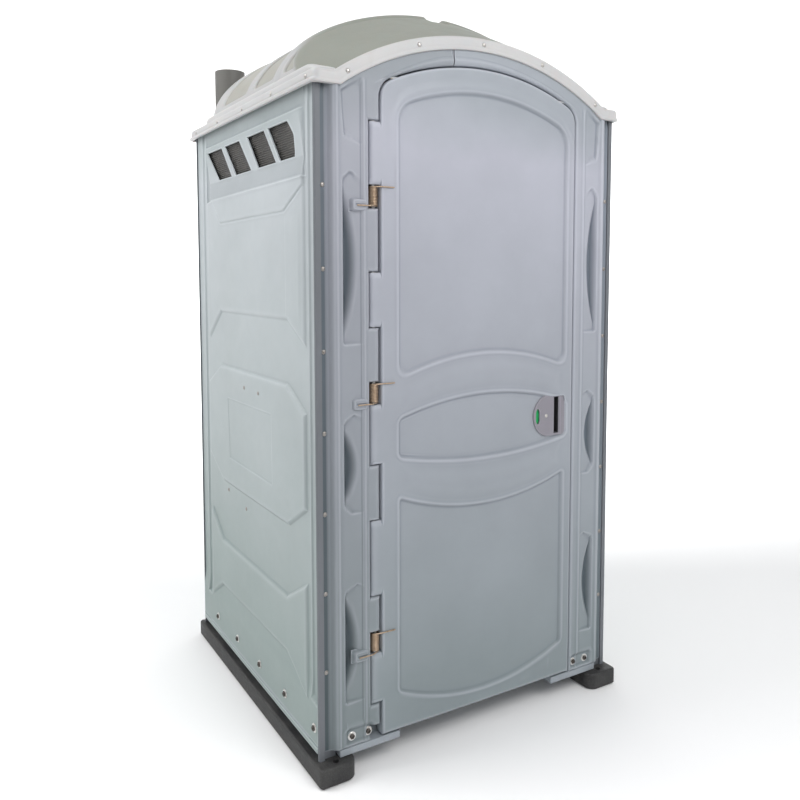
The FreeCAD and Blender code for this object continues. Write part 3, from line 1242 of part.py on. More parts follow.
def make_paper_holder():
    """Folded bracket with two cheeks that carry the rod."""
    sheet = HOLDER_SHEET
    start, end = HOLDER_START, HOLDER_START + HOLDER_LENGTH
    wall_x = -FIELD_INNER
    reach = 90.0
    pieces = [box(wall_x, wall_x + sheet, start, end, HOLDER_Z - 35, HOLDER_Z + 45)]
    for depth in (start, end - sheet):
        def place(u, v, level, depth=depth):
            return at(u, depth + level, v)
        cheek = [(wall_x, HOLDER_Z - 35), (wall_x + 40, HOLDER_Z - 35), (wall_x + reach, HOLDER_Z - 12),
                 (wall_x + reach, HOLDER_Z + 18), (wall_x + 60, HOLDER_Z + 45), (wall_x, HOLDER_Z + 45)]
        pieces.append(slab(cheek, place, 0, sheet))
    holder = joined(pieces)
    return holder.cut(rod(at(roll_x(), start - 5, HOLDER_Z), Y_AXIS, ROLL_ROD_R + HOLE_SLACK,
                          HOLDER_LENGTH + 10))


def roll_x():
    return -FIELD_INNER + HOLDER_SHEET + ROLL_R + 8.0


def make_roll_rod():
    shaft = rod(at(roll_x(), HOLDER_START - 8, HOLDER_Z), Y_AXIS, ROLL_ROD_R, HOLDER_LENGTH + 12)
    return shaft.fuse(rod(at(roll_x(), HOLDER_START - 11, HOLDER_Z), Y_AXIS, ROLL_ROD_R + 4, 3))


def make_roll(number):
    """A paper roll that hangs on the rod by the top of its bore."""
    gap = (HOLDER_LENGTH - 2 * HOLDER_SHEET - 2 * ROLL_WIDTH) / 3
    start = HOLDER_START + HOLDER_SHEET + gap + number * (ROLL_WIDTH + gap)
    centre_z = HOLDER_Z - (ROLL_BORE_R - ROLL_ROD_R - ROLL_HANG)
    roll = rod(at(roll_x(), start, centre_z), Y_AXIS, ROLL_R, ROLL_WIDTH)
    roll = roll.makeChamfer(2.0, [e for e in roll.Edges if e.Curve.TypeId == "Part::GeomCircle"])
    return roll.cut(rod(at(roll_x(), start - 1, centre_z), Y_AXIS, ROLL_BORE_R, ROLL_WIDTH + 2))


def make_hinge_rod():
    """Rod through every knuckle, with a flat head on top."""
    low = FRAME_KNUCKLES[0][0]
    top = DOOR_KNUCKLES[-1][1]
    shaft = rod(at(HINGE_X, HINGE_F, low), Z_AXIS, ROD_R, top - low + 0.5)
    return shaft.fuse(rod(at(HINGE_X, HINGE_F, top + 0.4 - KNUCKLE_GAP / 2), Z_AXIS, ROD_R + 3, 2.0))


def group(shapes):
    return Part.makeCompound(shapes)


def build():
    pieces = {}
    for side, word in ((-1, "left"), (1, "right")):
        pieces["skid_" + word] = make_skid(side)
        pieces["post_front_" + word] = make_post(side, False)
        pieces["post_rear_" + word] = make_post(side, True)
    pieces["floor_pan"] = make_floor_pan()
    panel = make_side_panel()
    screen = make_vent_screen()
    pieces["side_panel_right"] = panel
    pieces["side_panel_left"] = mirrored(panel)
    pieces["vent_screen_right"] = screen
    pieces["vent_screen_left"] = mirrored(screen)
    pieces["back_panel"] = make_back_panel()
    pieces["front_frame_left"], pieces["front_frame_right"] = make_front_frame()
    pieces["roof_shell"] = make_roof()
    pieces["vent_pipe"] = make_pipe()
    pieces["door_outer_skin"] = make_door_outer()
    pieces["door_inner_skin"] = make_door_inner()
    pieces["hinge_rod"] = make_hinge_rod()
    pieces["hinge_springs"] = group([make_spring(*zone) for zone in SPRING_ZONES])
    pieces["latch_plate"] = make_latch_plate()
    spindle, flag, bolt = make_latch_parts()
    pieces["latch_spindle"] = spindle
    pieces["latch_indicator"] = flag
    pieces["latch_bolt"] = bolt
    pieces["latch_strike"] = make_strike()
    pieces["holding_tank"] = make_tank()
    pieces["toilet_seat"] = make_seat()
    pieces["toilet_lid"] = make_lid()
    pieces["lid_pin"] = make_lid_pin()
    pieces["urinal"] = make_urinal()
    pieces["urinal_drain"] = make_drain()
    pieces["paper_holder"] = make_paper_holder()
    pieces["paper_rod"] = make_roll_rod()
    pieces["paper_roll_front"] = make_roll(0)
    pieces["paper_roll_rear"] = make_roll(1)
    front = [rivet(p, V(0, -1, 0)) for side in (-1, 1) for p in post_rivets(side, False)]
    rear = [rivet(p, Y_AXIS) for side in (-1, 1) for p in post_rivets(side, True)]
    pieces["front_rivets"] = group(front)
    pieces["rear_rivets"] = group(rear)
    pieces["roof_rivets"] = group([rivet(p, way) for p, way in skirt_rivets() + fascia_rivets()])
    pieces["side_bolts"] = group([hex_bolt(p, V(side, 0, 0), WALL + PAN_WALL)
                                  for side in (-1, 1) for p in side_bolts(side)])
    pieces["frame_bolts"] = group([hex_bolt(p, V(0, -1, 0), FRAME_REAR + 12)
                                   for side in (-1, 1) for p in frame_bolts(side)])
    pieces["skid_bolts"] = group([hex_bolt(p, V(0, 0, -1), SKID_HEIGHT + 8)
                                  for side in (-1, 1) for p in skid_bolts(side)])
    return pieces


os.makedirs("parts", exist_ok=True)
for name, shape in build().items():
    shape.exportStep("parts/%s.step" % name)
    print("%-20s solids %2d valid %s volume %.1f cm3" % (name, len(shape.Solids), shape.isValid(),
                                                       shape.Volume / 1000))
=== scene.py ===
"""Looks of a portable toilet cabin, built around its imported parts.

Sizes are in millimetres: x across, depth behind the front rivet face, z up. mm() turns them into
metres. Moulded pieces are grids of points whose lines follow the mould's edges, given a thickness.
"""
import math

import bmesh
import bpy
import numpy as np
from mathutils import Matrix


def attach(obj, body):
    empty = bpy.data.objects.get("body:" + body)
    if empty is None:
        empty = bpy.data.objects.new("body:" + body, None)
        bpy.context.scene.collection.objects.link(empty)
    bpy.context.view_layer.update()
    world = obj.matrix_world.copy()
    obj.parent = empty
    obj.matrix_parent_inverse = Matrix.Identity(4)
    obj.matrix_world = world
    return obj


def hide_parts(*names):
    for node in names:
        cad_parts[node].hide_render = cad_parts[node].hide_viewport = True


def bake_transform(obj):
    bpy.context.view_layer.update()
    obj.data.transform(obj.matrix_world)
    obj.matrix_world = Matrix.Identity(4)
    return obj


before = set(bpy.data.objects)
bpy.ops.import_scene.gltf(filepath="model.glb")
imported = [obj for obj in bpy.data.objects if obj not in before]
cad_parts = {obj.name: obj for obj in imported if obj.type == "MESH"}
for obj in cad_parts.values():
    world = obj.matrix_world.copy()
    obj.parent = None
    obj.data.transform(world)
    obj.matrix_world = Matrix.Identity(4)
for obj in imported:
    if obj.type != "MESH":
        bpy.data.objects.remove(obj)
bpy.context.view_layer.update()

# Shared sizes
FRONT = -536.0                 # y of the front rivet face in the shared frame
HALF = 560.0                   # outer faces of the side walls
POST_EDGE = 538.0              # front frame and rear wall end here, at the corner posts
RIVET_X = 530.0                # rivet rows down the corner posts
BACK = 1063.0                  # rear wall's face
FACE = -20.0                   # front face of door and frame
EAVE = 1955.0                  # lower edge of the roof's rim
PANEL_FOOT = 79.0              # lower edge of the walls
PANEL_TOP = 1989.0             # upper edge of the walls, under the roof
ARCH_R = 848.0                 # roof arch above the doorway
ARCH_RISE = 151.0              # crown of the arch above the eave
ARCH_Z = EAVE + ARCH_RISE - ARCH_R
SINK = 8.0                     # depth of the door's sunk fields
SHEET = 3.5                    # wall of the moulded sheets
DOME_BASE = 1992.0             # level at which the dome's section has its full width
DOME_FOOT = 1996.0             # lowest edge of the dome, under the deck
DOME_REAR = 893.0              # the dome ends here, clear of the vent pipe
HEADER_SEAM = -108.0           # where the two frame halves meet
HEADER_GAP = 0.9               # each half stops this far from the seam

# Door and hinge
DOOR_LEFT, DOOR_RIGHT, DOOR_FOOT = -356.5, 373.0, 84.0
DOOR_R, SHOULDER = ARCH_R - 49.0, 60.0
DOOR_MIDDLE = 20.0             # here the door's grid rows have their nominal heights
UPPER_SIDES = (-300.0, 341.0)  # left and right edges of the door's sunk fields
BAND_SIDES = (-301.0, 347.0)
LOWER_SIDES = (-299.0, 336.0)
CRESCENT_SIDES = (-288.0, 329.0)
KNUCKLE_GAP = 1.5              # each knuckle stops this far from its zone's ends
KNUCKLE_TOP = 1871.5           # above this the left jamb reaches the knuckles' line again
JAMB_LEFT, JAMB_RIGHT = 395.0, 377.0   # the jambs' edges from the middle
KNUCKLE_LINE = 361.5           # the left jamb's knuckles and header reach to here
FRAME_FOOT = 80.0
HINGE_X, HINGE_DEPTH, BARREL_R = -376.0, -4.0, 16.0
# Zones up the hinge line, each from its low end to its high end
SPRING_ZONES = ((338.0, 402.0), (1071.0, 1135.0), (1629.0, 1693.0))
DOOR_KNUCKLES = ((186.0, 338.0), (509.0, 733.0), (896.0, 1071.0), (1292.0, 1449.0),
                 (1693.0, 1870.0))
FRAME_KNUCKLES = ((119.0, 186.0), (402.0, 509.0), (733.0, 896.0), (1135.0, 1292.0),
                  (1449.0, 1629.0))
RIVET_HEIGHTS = 1000.0 + 229.0 * np.arange(-3, 4)

# Latch plate, measured from its spindle
LATCH_X, LATCH_Z = 264.0, 978.0
PLATE_LEFT, PLATE_RIGHT, PLATE_HALF, PLATE_CORNER = -53.0, 81.0, 68.0, 14.0
PLATE_BOW, PLATE_BOW_X = 70.1, 17.1     # radius and centre of its round left side
SLOT_LEFT, SLOT_RIGHT, SLOT_HALF = 33.0, 52.0, 60.0


# Geometry tools
def mm(x, depth, z):
    """Points in metres from millimetre arrays of any shapes that fit together."""
    return np.stack(np.broadcast_arrays(x, np.add(depth, FRONT), z), -1).reshape(-1, 3) * 0.001


def ease(t):
    """Smooth step: three t squared less two t cubed, between 0 and 1."""
    t = np.clip(t, 0.0, 1.0)
    return t * t * (3.0 - 2.0 * t)


def even_slope(t):
    """A straight slope between 0 and 1 with softened ends: three parts straight to one part
    smooth step."""
    return 0.75 * np.clip(t, 0.0, 1.0) + 0.25 * ease(t)


def bump_at(value, centre, width):
    """A soft ridge: one at the centre, falling as a bell to nothing a width away."""
    return ease(1.0 - np.abs(value - centre) / width)


def fall_back(inside, radius):
    """Quarter round: how far a face drops at a distance inside its edge."""
    rest = np.clip(radius - inside, 0.0, radius)
    return radius - np.sqrt(radius * radius - rest * rest)


def graded(start, end, marks, coarse, fine, reach, exact=()):
    """Grid lines from start to end, coarse apart, and fine apart near each mark.
    They are equal steps of the running total of one over the spacing, and the nearest line
    moves onto each exact value."""
    place = np.linspace(start, end, 4000)
    near = np.min(np.abs(place[:, None] - np.asarray(marks, float)), axis=1)
    density = 1 / coarse + (1 / fine - 1 / coarse) * np.exp(-(near / reach) ** 2)
    total = np.append(0.0, np.cumsum((density[1:] + density[:-1]) / 2 * np.diff(place)))
    steps = np.linspace(0.0, total[-1], int(math.ceil(total[-1])) + 1)
    lines = np.interp(steps, total, place)
    for value in exact:
        lines[np.argmin(np.abs(lines - value))] = value
    return lines


def with_even_stretch(lines, start, end, spacing):
    """Grid lines with those between start and end replaced by evenly spaced ones."""
    even = graded(start, end, [start], spacing, spacing, 1.0)
    return np.sort(np.concatenate([lines[(lines < start - 2) | (lines > end + 2)], even]))


def arc_through(left, right, end, middle):
    """Circle through two ends at one height and a middle point: its centre x and z, and its
    radius, which is negative where the arc hangs down."""
    half, sag = (right - left) / 2, middle - end
    radius = (half * half + sag * sag) / (2 * sag)
    return (left + right) / 2, middle - radius, radius


def arc_height(arc, x):
    """Height of an arc: centre height plus the root of radius squared less x squared."""
    centre, base, radius = arc
    run = np.minimum(np.abs(np.asarray(x, float) - centre), abs(radius) * 0.999)
    return base + math.copysign(1, radius) * np.sqrt(radius * radius - run * run)


def above_arc(arc, x, z):
    """Distance above an arc, measured along its radius."""
    centre, base, radius = arc
    return (np.hypot(x - centre, z - base) - abs(radius)) * math.copysign(1, radius)


def inside_corner(past_side, past_end, corner):
    """Distance inside a shape with rounded corners, from the distances past its nearest side
    and end: the lesser of the two, or, in a corner, the radius less the distance from the
    corner's centre."""
    a, b = past_side + corner, past_end + corner
    return corner - np.minimum(np.maximum(a, b), 0) - np.hypot(np.maximum(a, 0), np.maximum(b, 0))


def inside_band(x, z, sides, low, high, corner):
    """Distance inside a field with upright sides, an arc below and an arc above, its corners
    rounded."""
    left, right = sides
    return inside_corner(np.maximum(left - x, x - right),
                         np.maximum(-above_arc(low, x, z), above_arc(high, x, z)), corner)


def inside_outline(u, v, points):
    """Signed distance to a closed outline of straight sides, positive inside: the least
    distance to a side, its sign from how often a level ray crosses the outline."""
    near, inside = np.full(u.shape, np.inf), np.zeros(u.shape, bool)
    for (a, b), (c, d) in zip(points, points[1:] + points[:1]):
        run = (c - a) ** 2 + (d - b) ** 2
        t = np.clip(((u - a) * (c - a) + (v - b) * (d - b)) / run, 0, 1)
        near = np.minimum(near, np.hypot(u - a - t * (c - a), v - b - t * (d - b)))
        inside ^= ((b > v) != (d > v)) & (u < (c - a) * (v - b) / (d - b + 1e-9) + a)
    return np.where(inside, near, -near)


def inside_rounded(u, v, points, radius):
    """Distance inside an outline with rounded corners: the distance to the outline drawn in
    by the radius, plus the radius."""
    middle = np.mean(points, axis=0)
    drawn_in = [(a - math.copysign(radius, a - middle[0]), b - math.copysign(radius, b - middle[1]))
                for a, b in points]
    return inside_outline(u, v, drawn_in) + radius


def grid_faces(rows, columns, keep=None, round_rows=False, round_columns=False):
    """Four-sided faces of a grid of points stored row by row. It may close on itself."""
    index = np.arange(rows * columns).reshape(rows, columns)
    index = np.vstack([index, index[:1]]) if round_rows else index
    index = np.hstack([index, index[:, :1]]) if round_columns else index
    faces = np.stack([index[:-1, :-1], index[:-1, 1:], index[1:, 1:], index[1:, :-1]], -1)
    return faces.reshape(-1, 4) if keep is None else faces[keep]


def open_edges(faces):
    """Directed edges that one face alone uses."""
    pairs = np.concatenate([np.stack([faces[:, k], faces[:, (k + 1) % 4]], -1) for k in range(4)])
    size = faces.max() + 1
    return pairs[~np.isin(pairs[:, 0] * size + pairs[:, 1], pairs[:, 1] * size + pairs[:, 0])]


def carried_back(points, faces, depth, wanted=None):
    """Adds a wall: every open edge is carried straight back to a depth. A wanted test on the
    edge's points may leave some out."""
    edges = open_edges(faces)
    if wanted is not None:
        edges = edges[wanted(points[edges[:, 0]]) & wanted(points[edges[:, 1]])]
    rim = np.unique(edges)
    twin = np.full(len(points), -1)
    twin[rim] = len(points) + np.arange(len(rim))
    moved = points[rim].copy()
    moved[:, 1] = (depth + FRONT) * 0.001
    wall = np.stack([edges[:, 1], edges[:, 0], twin[edges[:, 0]], twin[edges[:, 1]]], -1)
    return np.vstack([points, moved]), np.vstack([faces, wall])


def mean_normals(points, faces):
    """Unit normal at every point: the sum of the cross products of the diagonals of the faces
    that meet there."""
    corners = points[faces]
    across = np.cross(corners[:, 2] - corners[:, 0], corners[:, 3] - corners[:, 1])
    total = np.zeros_like(points)
    for k in range(4):
        np.add.at(total, faces[:, k], across)
    return total / np.maximum(np.linalg.norm(total, axis=1, keepdims=True), 1e-12)


def thick(points, faces, thickness=SHEET):
    """Gives a surface its thickness: a second surface behind along the mean normals, turned
    round, and a strip that closes every open edge."""
    count, edges = len(points), open_edges(faces)
    strip = np.stack([edges[:, 1], edges[:, 0], edges[:, 0] + count, edges[:, 1] + count], -1)
    behind = points - mean_normals(points, faces) * thickness * 0.001
    return np.vstack([points, behind]), np.vstack([faces, faces[:, ::-1] + count, strip])


def mark_both(values, points):
    """Mark values for a thickened surface: nothing on points carried back, and the same
    again on the second surface."""
    one = np.zeros(len(points) // 2)
    one[:values.size] = values.ravel()
    return np.concatenate([one, one])


def bend_marks(points, faces):
    """How hollow the surface is: for every edge the change of the normal along it over its
    length, times 6 mm, averaged over the edges at a point. Ridges come out below 0."""
    normals = mean_normals(points, faces)
    turn, uses = np.zeros(len(points)), np.zeros(len(points))
    for k in range(4):
        one, other = faces[:, k], faces[:, (k + 1) % 4]
        run = points[other] - points[one]
        bent = (np.sum((normals[other] - normals[one]) * run, axis=1)
                / np.maximum(np.sum(run * run, axis=1), 1e-7))
        for end in (one, other):
            np.add.at(turn, end, bent)
            np.add.at(uses, end, 1.0)
    return np.clip(-0.006 * turn / np.maximum(uses, 1.0), -1.0, 1.0)


def piece(name, points, faces, finish, slot, body="cabin", stands_for=(), weld=False,
          sharp=38.0, marks=None):
    """One named piece from points and faces. Welding closes poles and turns faces outwards.
    Edges that bend by more than sharp degrees are drawn sharp."""
    # The mark bend drives painted shade in hollows and painted highlights on ridges.
    marks = dict(marks or {}, bend=bend_marks(points, faces))
    used, faces = np.unique(faces, return_inverse=True)
    faces = faces.reshape(-1, 4)
    mesh = bpy.data.meshes.new(name)
    mesh.vertices.add(len(used))
    mesh.vertices.foreach_set("co", points[used].astype(np.float32).ravel())
    mesh.loops.add(faces.size)
    mesh.loops.foreach_set("vertex_index", faces.ravel().astype(np.int32))
    mesh.polygons.add(len(faces))
    mesh.polygons.foreach_set("loop_start", np.arange(0, faces.size, 4, dtype=np.int32))
    mesh.update(calc_edges=True)
    for label, values in marks.items():
        layer = mesh.attributes.new(label, "FLOAT", "POINT")
        layer.data.foreach_set("value", np.asarray(values, np.float32).ravel()[used])
    if weld:
        work = bmesh.new()
        work.from_mesh(mesh)
        bmesh.ops.remove_doubles(work, verts=work.verts, dist=2e-6)
        bmesh.ops.dissolve_degenerate(work, edges=work.edges, dist=1e-7)
        bmesh.ops.recalc_face_normals(work, faces=work.faces)
        work.to_mesh(mesh)
        work.free()
    mesh.validate()
    mesh.shade_smooth()
    mesh.set_sharp_from_angle(angle=math.radians(sharp))
    made = bpy.data.objects.new(name, mesh)
    bpy.context.scene.collection.objects.link(made)
    mesh.materials.append(finish)
    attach(made, body)
    if stands_for:
        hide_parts(*stands_for)
    return made


def mirrored(points, faces):
    """The same surface on the other side of the middle plane, still facing outwards."""
    return points * np.array([-1.0, 1.0, 1.0]), faces[:, ::-1]


def tube(path, radius, sides):
    """Round bar along a path of points in mm, with closed ends: rings of cos and sin across
    the path's direction."""
    path = np.asarray(path, float)
    way = np.gradient(path, axis=0)
    way /= np.linalg.norm(way, axis=1, keepdims=True)
    never_along = np.array([0.13, 0.21, 0.97])
    side = np.cross(way, never_along)
    side /= np.linalg.norm(side, axis=1, keepdims=True)
    rise = np.cross(side, way)
    turn = np.linspace(0, 2 * np.pi, sides, endpoint=False)
    ring = side[:, None] * np.cos(turn)[:, None] + rise[:, None] * np.sin(turn)[:, None]
    rings = path[:, None] + ring * radius
    rings = np.concatenate([np.repeat(path[:1, None], sides, 1), rings,
                            np.repeat(path[-1:, None], sides, 1)])
    return (mm(rings[..., 0], rings[..., 1], rings[..., 2]),
            grid_faces(len(path) + 2, sides, round_columns=True))


def turned(profile, places, ways, sides):
    """Bodies of revolution at several places: profile rows are (radius, height along the way),
    swept by cos and sin round each way."""
    profile, places = np.asarray(profile, float), np.asarray(places, float).reshape(-1, 3)
    ways = np.broadcast_to(np.asarray(ways, float), places.shape)
    side = np.cross(ways, np.array([0.0, 0.0, 1.0]))
    side = np.where(np.linalg.norm(side, axis=1, keepdims=True) < 0.1, [1.0, 0.0, 0.0], side)
    rise = np.cross(ways, side)
    turn = np.linspace(0, 2 * np.pi, sides, endpoint=False)
    spoke = side[:, None] * np.cos(turn)[:, None] + rise[:, None] * np.sin(turn)[:, None]
    points = (places[:, None, None] + profile[:, 0][:, None, None] * spoke[:, None]
              + profile[:, 1][:, None, None] * ways[:, None, None])
    one = grid_faces(len(profile), sides, round_columns=True)
    faces = one[None] + (np.arange(len(places)) * len(profile) * sides)[:, None, None]
    return mm(points[..., 0], points[..., 1], points[..., 2]), faces.reshape(-1, 4)


# Finishes
class Finish:
    """A procedural material: nodes are added by kind, and linked by socket names."""

    def __init__(self, name):
        self.material = bpy.data.materials.new(name)
        self.material.use_nodes = True
        self.tree = self.material.node_tree
        self.shader = self.tree.nodes["Principled BSDF"]
        self.where = self.tree.nodes.new("ShaderNodeTexCoord").outputs["Object"]

    def node(self, kind, values=(), **inputs):
        """Adds a node, sets its values, and links or sets each named input."""
        made = self.tree.nodes.new("ShaderNode" + kind)
        for key, value in dict(values).items():
            setattr(made, key, value)
        for key, value in inputs.items():
            socket = made.inputs[int(key[1:]) if key[0] == "_" else key.replace("_", " ")]
            self.put(socket, value)
        return made

    def put(self, socket, value):
        """Links an output to a socket, or sets the socket's own value."""
        if hasattr(value, "is_output"):
            self.tree.links.new(value, socket)
        else:
            socket.default_value = value

    def stretch(self, scale):
        """Object coordinates, scaled along each axis."""
        return self.node("Mapping", Vector=self.where, Scale=scale).outputs[0]

    def noise(self, scale, detail=4.0, rough=0.55, stretch=(1, 1, 1)):
        """Noise on object coordinates, about 0.5 in the middle."""
        return self.node("TexNoise", Vector=self.stretch(stretch), Scale=scale, Detail=detail,
                         Roughness=rough).outputs["Fac"]

    def ramp(self, value, *stops):
        """Maps a value through stops of (place, grey or colour)."""
        made = self.node("ValToRGB", Fac=value)
        band = made.color_ramp
        for number, (place, colour) in enumerate(stops):
            stop = band.elements[number] if number < 2 else band.elements.new(place)
            stop.position = place
            stop.color = tuple(colour) + (1,) if hasattr(colour, "__len__") else (colour,) * 3 + (1,)
        return made.outputs[0]

    def mix(self, share, one, other, blend="MIX"):
        """Mixes two colours by a share."""
        made = self.node("MixRGB", {"blend_type": blend}, _0=share)
        for socket, colour in ((made.inputs[1], one), (made.inputs[2], other)):
            self.put(socket, colour if hasattr(colour, "is_output") else tuple(colour) + (1,))
        return made.outputs[0]

    def math(self, operation, one, other=0.0):
        """One sum on one or two values."""
        return self.node("Math", {"operation": operation}, _0=one, _1=other).outputs[0]

    def between(self, value, scale, limit):
        """A value times a scale, kept between 0 and a limit."""
        return self.math("MINIMUM", self.math("MAXIMUM", self.math("MULTIPLY", value, scale), 0.0),
                         limit)

    def mark(self, label):
        """A mark that the piece's points carry."""
        return self.node("Attribute", {"attribute_name": label}).outputs["Fac"]

    def bump(self, height, distance, strength=1.0, after=None):
        """Relief of a height, in metres, on top of an earlier one."""
        made = self.node("Bump", Height=height, Distance=distance, Strength=strength)
        if after is not None:
            self.put(made.inputs["Normal"], after)
        return made.outputs[0]

    def done(self, **sockets):
        """Sets the shader's sockets and returns the material."""
        for key, value in sockets.items():
            self.put(self.shader.inputs[key.replace("_", " ")], value)
        return self.material


def moulded_plastic(name, colour, spread=0.05, rough=0.46, grain=0.00022, falloff_shade=0.0,
                    shadow=(0.72, 0.73, 0.74), hollow_shade=0.42):
    """Roto-moulded and thermoformed polyethylene: soft cloudy colour, a fine orange-peel skin,
    faint flow marks up and down, painted shade in hollows, painted highlights on ridges, painted
    shade that turns the sheet darker and greener towards the foot and darker again near the top,
    and painted shade in the sunk places that the mark sunk names. Spread is how far the clouds
    differ, the last argument how dark the painted shade in a hollow may get, and shadow the colour
    of the painted shade in sunk places."""
    f = Finish(name)
    colour = np.array(colour)
    cloud = f.noise(3.1, 5.0, 0.6)
    flow = f.noise(2.2, 3.0, 0.5, stretch=(7.0, 7.0, 0.8))
    base = f.mix(f.ramp(cloud, (0.32, 0.0), (0.70, 1.0)), colour * (1 - spread),
                 np.minimum(colour * (1 + spread), 1.0))
    base = f.mix(f.math("MULTIPLY", flow, 0.14), base, colour * 0.86 + 0.02)
    # Painted shade, darker and greener towards the foot and darker near the top, where the lamps' light
    # falls off.
    if falloff_shade:
        level = f.node("SeparateXYZ", Vector=f.where).outputs["Z"]
        level = f.math("ADD", level, f.math("MULTIPLY", f.noise(1.7, 4.0, 0.6), 0.4))
        low = f.ramp(f.math("MULTIPLY", level, 0.4), (0.16, 1.0), (0.44, 0.5), (0.80, 0.0),
                     (0.88, 0.55))
        base = f.mix(f.math("MULTIPLY", low, falloff_shade), base, (0.58, 0.66, 0.61), "MULTIPLY")
    speck = f.ramp(f.noise(420.0, 2.0, 0.5), (0.60, 0.0), (0.74, 1.0))
    base = f.mix(f.math("MULTIPLY", speck, 0.07), base, colour * 0.62)
    # Painted shade in sunk places, as the mark sunk gives it.
    base = f.mix(f.mark("sunk"), base, shadow, "MULTIPLY")
    # Painted shade in hollows, then a painted highlight on ridges.
    bend = f.mark("bend")
    base = f.mix(f.between(bend, 1.1, hollow_shade), base, (0.50, 0.53, 0.58), "MULTIPLY")
    base = f.mix(f.between(bend, -0.7, 0.24), base, np.minimum(colour * 1.4 + 0.05, 1.0))
    normal = f.bump(f.noise(11.0, 2.0, 0.4), 0.0028, 0.5)
    normal = f.bump(f.noise(560.0, 3.0, 0.55), grain, 0.55, after=normal)
    dull = f.ramp(f.noise(6.0, 6.0, 0.65), (0.30, rough - 0.06), (0.72, rough + 0.09))
    return f.done(Base_Color=base, Roughness=dull, Normal=normal, Specular_IOR_Level=0.42,
                  IOR=1.5)


def metal(name, colour, stain, rough, scale, stained):
    """Plated or bare metal: fine scratches, stains in patches, roughness that follows them.
    Scale is the grain of the patches, and stained how much of the piece they cover."""
    f = Finish(name)
    patch = f.ramp(f.noise(scale, 5.0, 0.65), (0.62 - stained * 0.25, 0.0), (0.74, 1.0))
    scratch = f.noise(900.0, 2.0, 0.5, stretch=(1.0, 1.0, 0.12))
    base = f.mix(patch, colour, stain)
    rough_value = f.math("ADD", f.math("MULTIPLY", patch, 0.3), rough)
    normal = f.bump(scratch, 0.00012, 0.5)
    return f.done(Base_Color=base, Roughness=rough_value, Normal=normal, Metallic=0.9)


body_plastic = moulded_plastic("body_plastic", (0.385, 0.394, 0.449), falloff_shade=1.0,
                               shadow=(0.55, 0.60, 0.62))
# A darker copy of the frame plastic for the left half and its spring pads: painted shade, as the front
# light falls off to the left, with deeper painted shade in its sunk places.
shaded_jamb_plastic = moulded_plastic("shaded_jamb_plastic", (0.32, 0.33, 0.373), falloff_shade=1.0,
                               shadow=(0.32, 0.37, 0.39))
wall_plastic = moulded_plastic("wall_plastic", (0.435, 0.467, 0.488), falloff_shade=1.0, hollow_shade=0.12)
post_plastic = moulded_plastic("post_plastic", (0.14, 0.15, 0.165), 0.07, 0.5)
pan_plastic = moulded_plastic("pan_plastic", (0.30, 0.33, 0.36), 0.08, 0.52)
pipe_plastic = moulded_plastic("pipe_plastic", (0.125, 0.122, 0.112), 0.05, 0.5)
seat_plastic = moulded_plastic("seat_plastic", (0.045, 0.047, 0.050), 0.12, 0.36)
tank_plastic = moulded_plastic("tank_plastic", (0.30, 0.315, 0.34), 0.06, 0.48)
urinal_plastic = moulded_plastic("urinal_plastic", (0.36, 0.375, 0.40), 0.05, 0.4)
latch_plastic = moulded_plastic("latch_plastic", (0.235, 0.225, 0.255), 0.06, 0.42, 0.0003)
black_plastic = moulded_plastic("black_plastic", (0.022, 0.022, 0.024), 0.2, 0.42)
rivet_metal = metal("rivet_metal", (0.50, 0.48, 0.46), (0.24, 0.20, 0.16), 0.32, 160.0, 0.3)
worn_metal = metal("worn_metal", (0.36, 0.34, 0.32), (0.12, 0.09, 0.07), 0.40, 160.0, 0.4)
washer_metal = metal("washer_metal", (0.70, 0.69, 0.67), (0.24, 0.19, 0.15), 0.33, 90.0, 0.3)
bolt_metal = metal("bolt_metal", (0.13, 0.12, 0.11), (0.06, 0.04, 0.03), 0.42, 110.0, 0.5)
rod_metal = metal("rod_metal", (0.36, 0.35, 0.34), (0.14, 0.09, 0.06), 0.35, 60.0, 0.4)
spring_metal = metal("spring_metal", (0.43, 0.325, 0.235), (0.25, 0.175, 0.12), 0.30, 60.0, 0.4)


def skid_finish():
    """Black recycled polyethylene: scuffed grey in patches, pitted, and worn pale in scratches
    that run along the runner."""
    f = Finish("skid_plastic")
    scuff = f.ramp(f.noise(9.0, 8.0, 0.72), (0.40, 0.0), (0.68, 1.0))
    drag = f.ramp(f.noise(38.0, 5.0, 0.7, stretch=(9.0, 0.5, 6.0)), (0.52, 0.0), (0.70, 1.0))
    base = f.mix(scuff, (0.020, 0.020, 0.021), (0.060, 0.059, 0.057))
    base = f.mix(f.math("MULTIPLY", drag, 0.45), base, (0.13, 0.125, 0.12))
    pits = f.node("TexVoronoi", Vector=f.where, Scale=230.0).outputs["Distance"]
    normal = f.bump(f.noise(46.0, 6.0, 0.7), 0.0022, 0.6)
    normal = f.bump(pits, 0.0007, 0.5, after=normal)
    rough = f.ramp(scuff, (0.0, 0.50), (1.0, 0.78))
    return f.done(Base_Color=base, Roughness=rough, Normal=normal, Specular_IOR_Level=0.4)


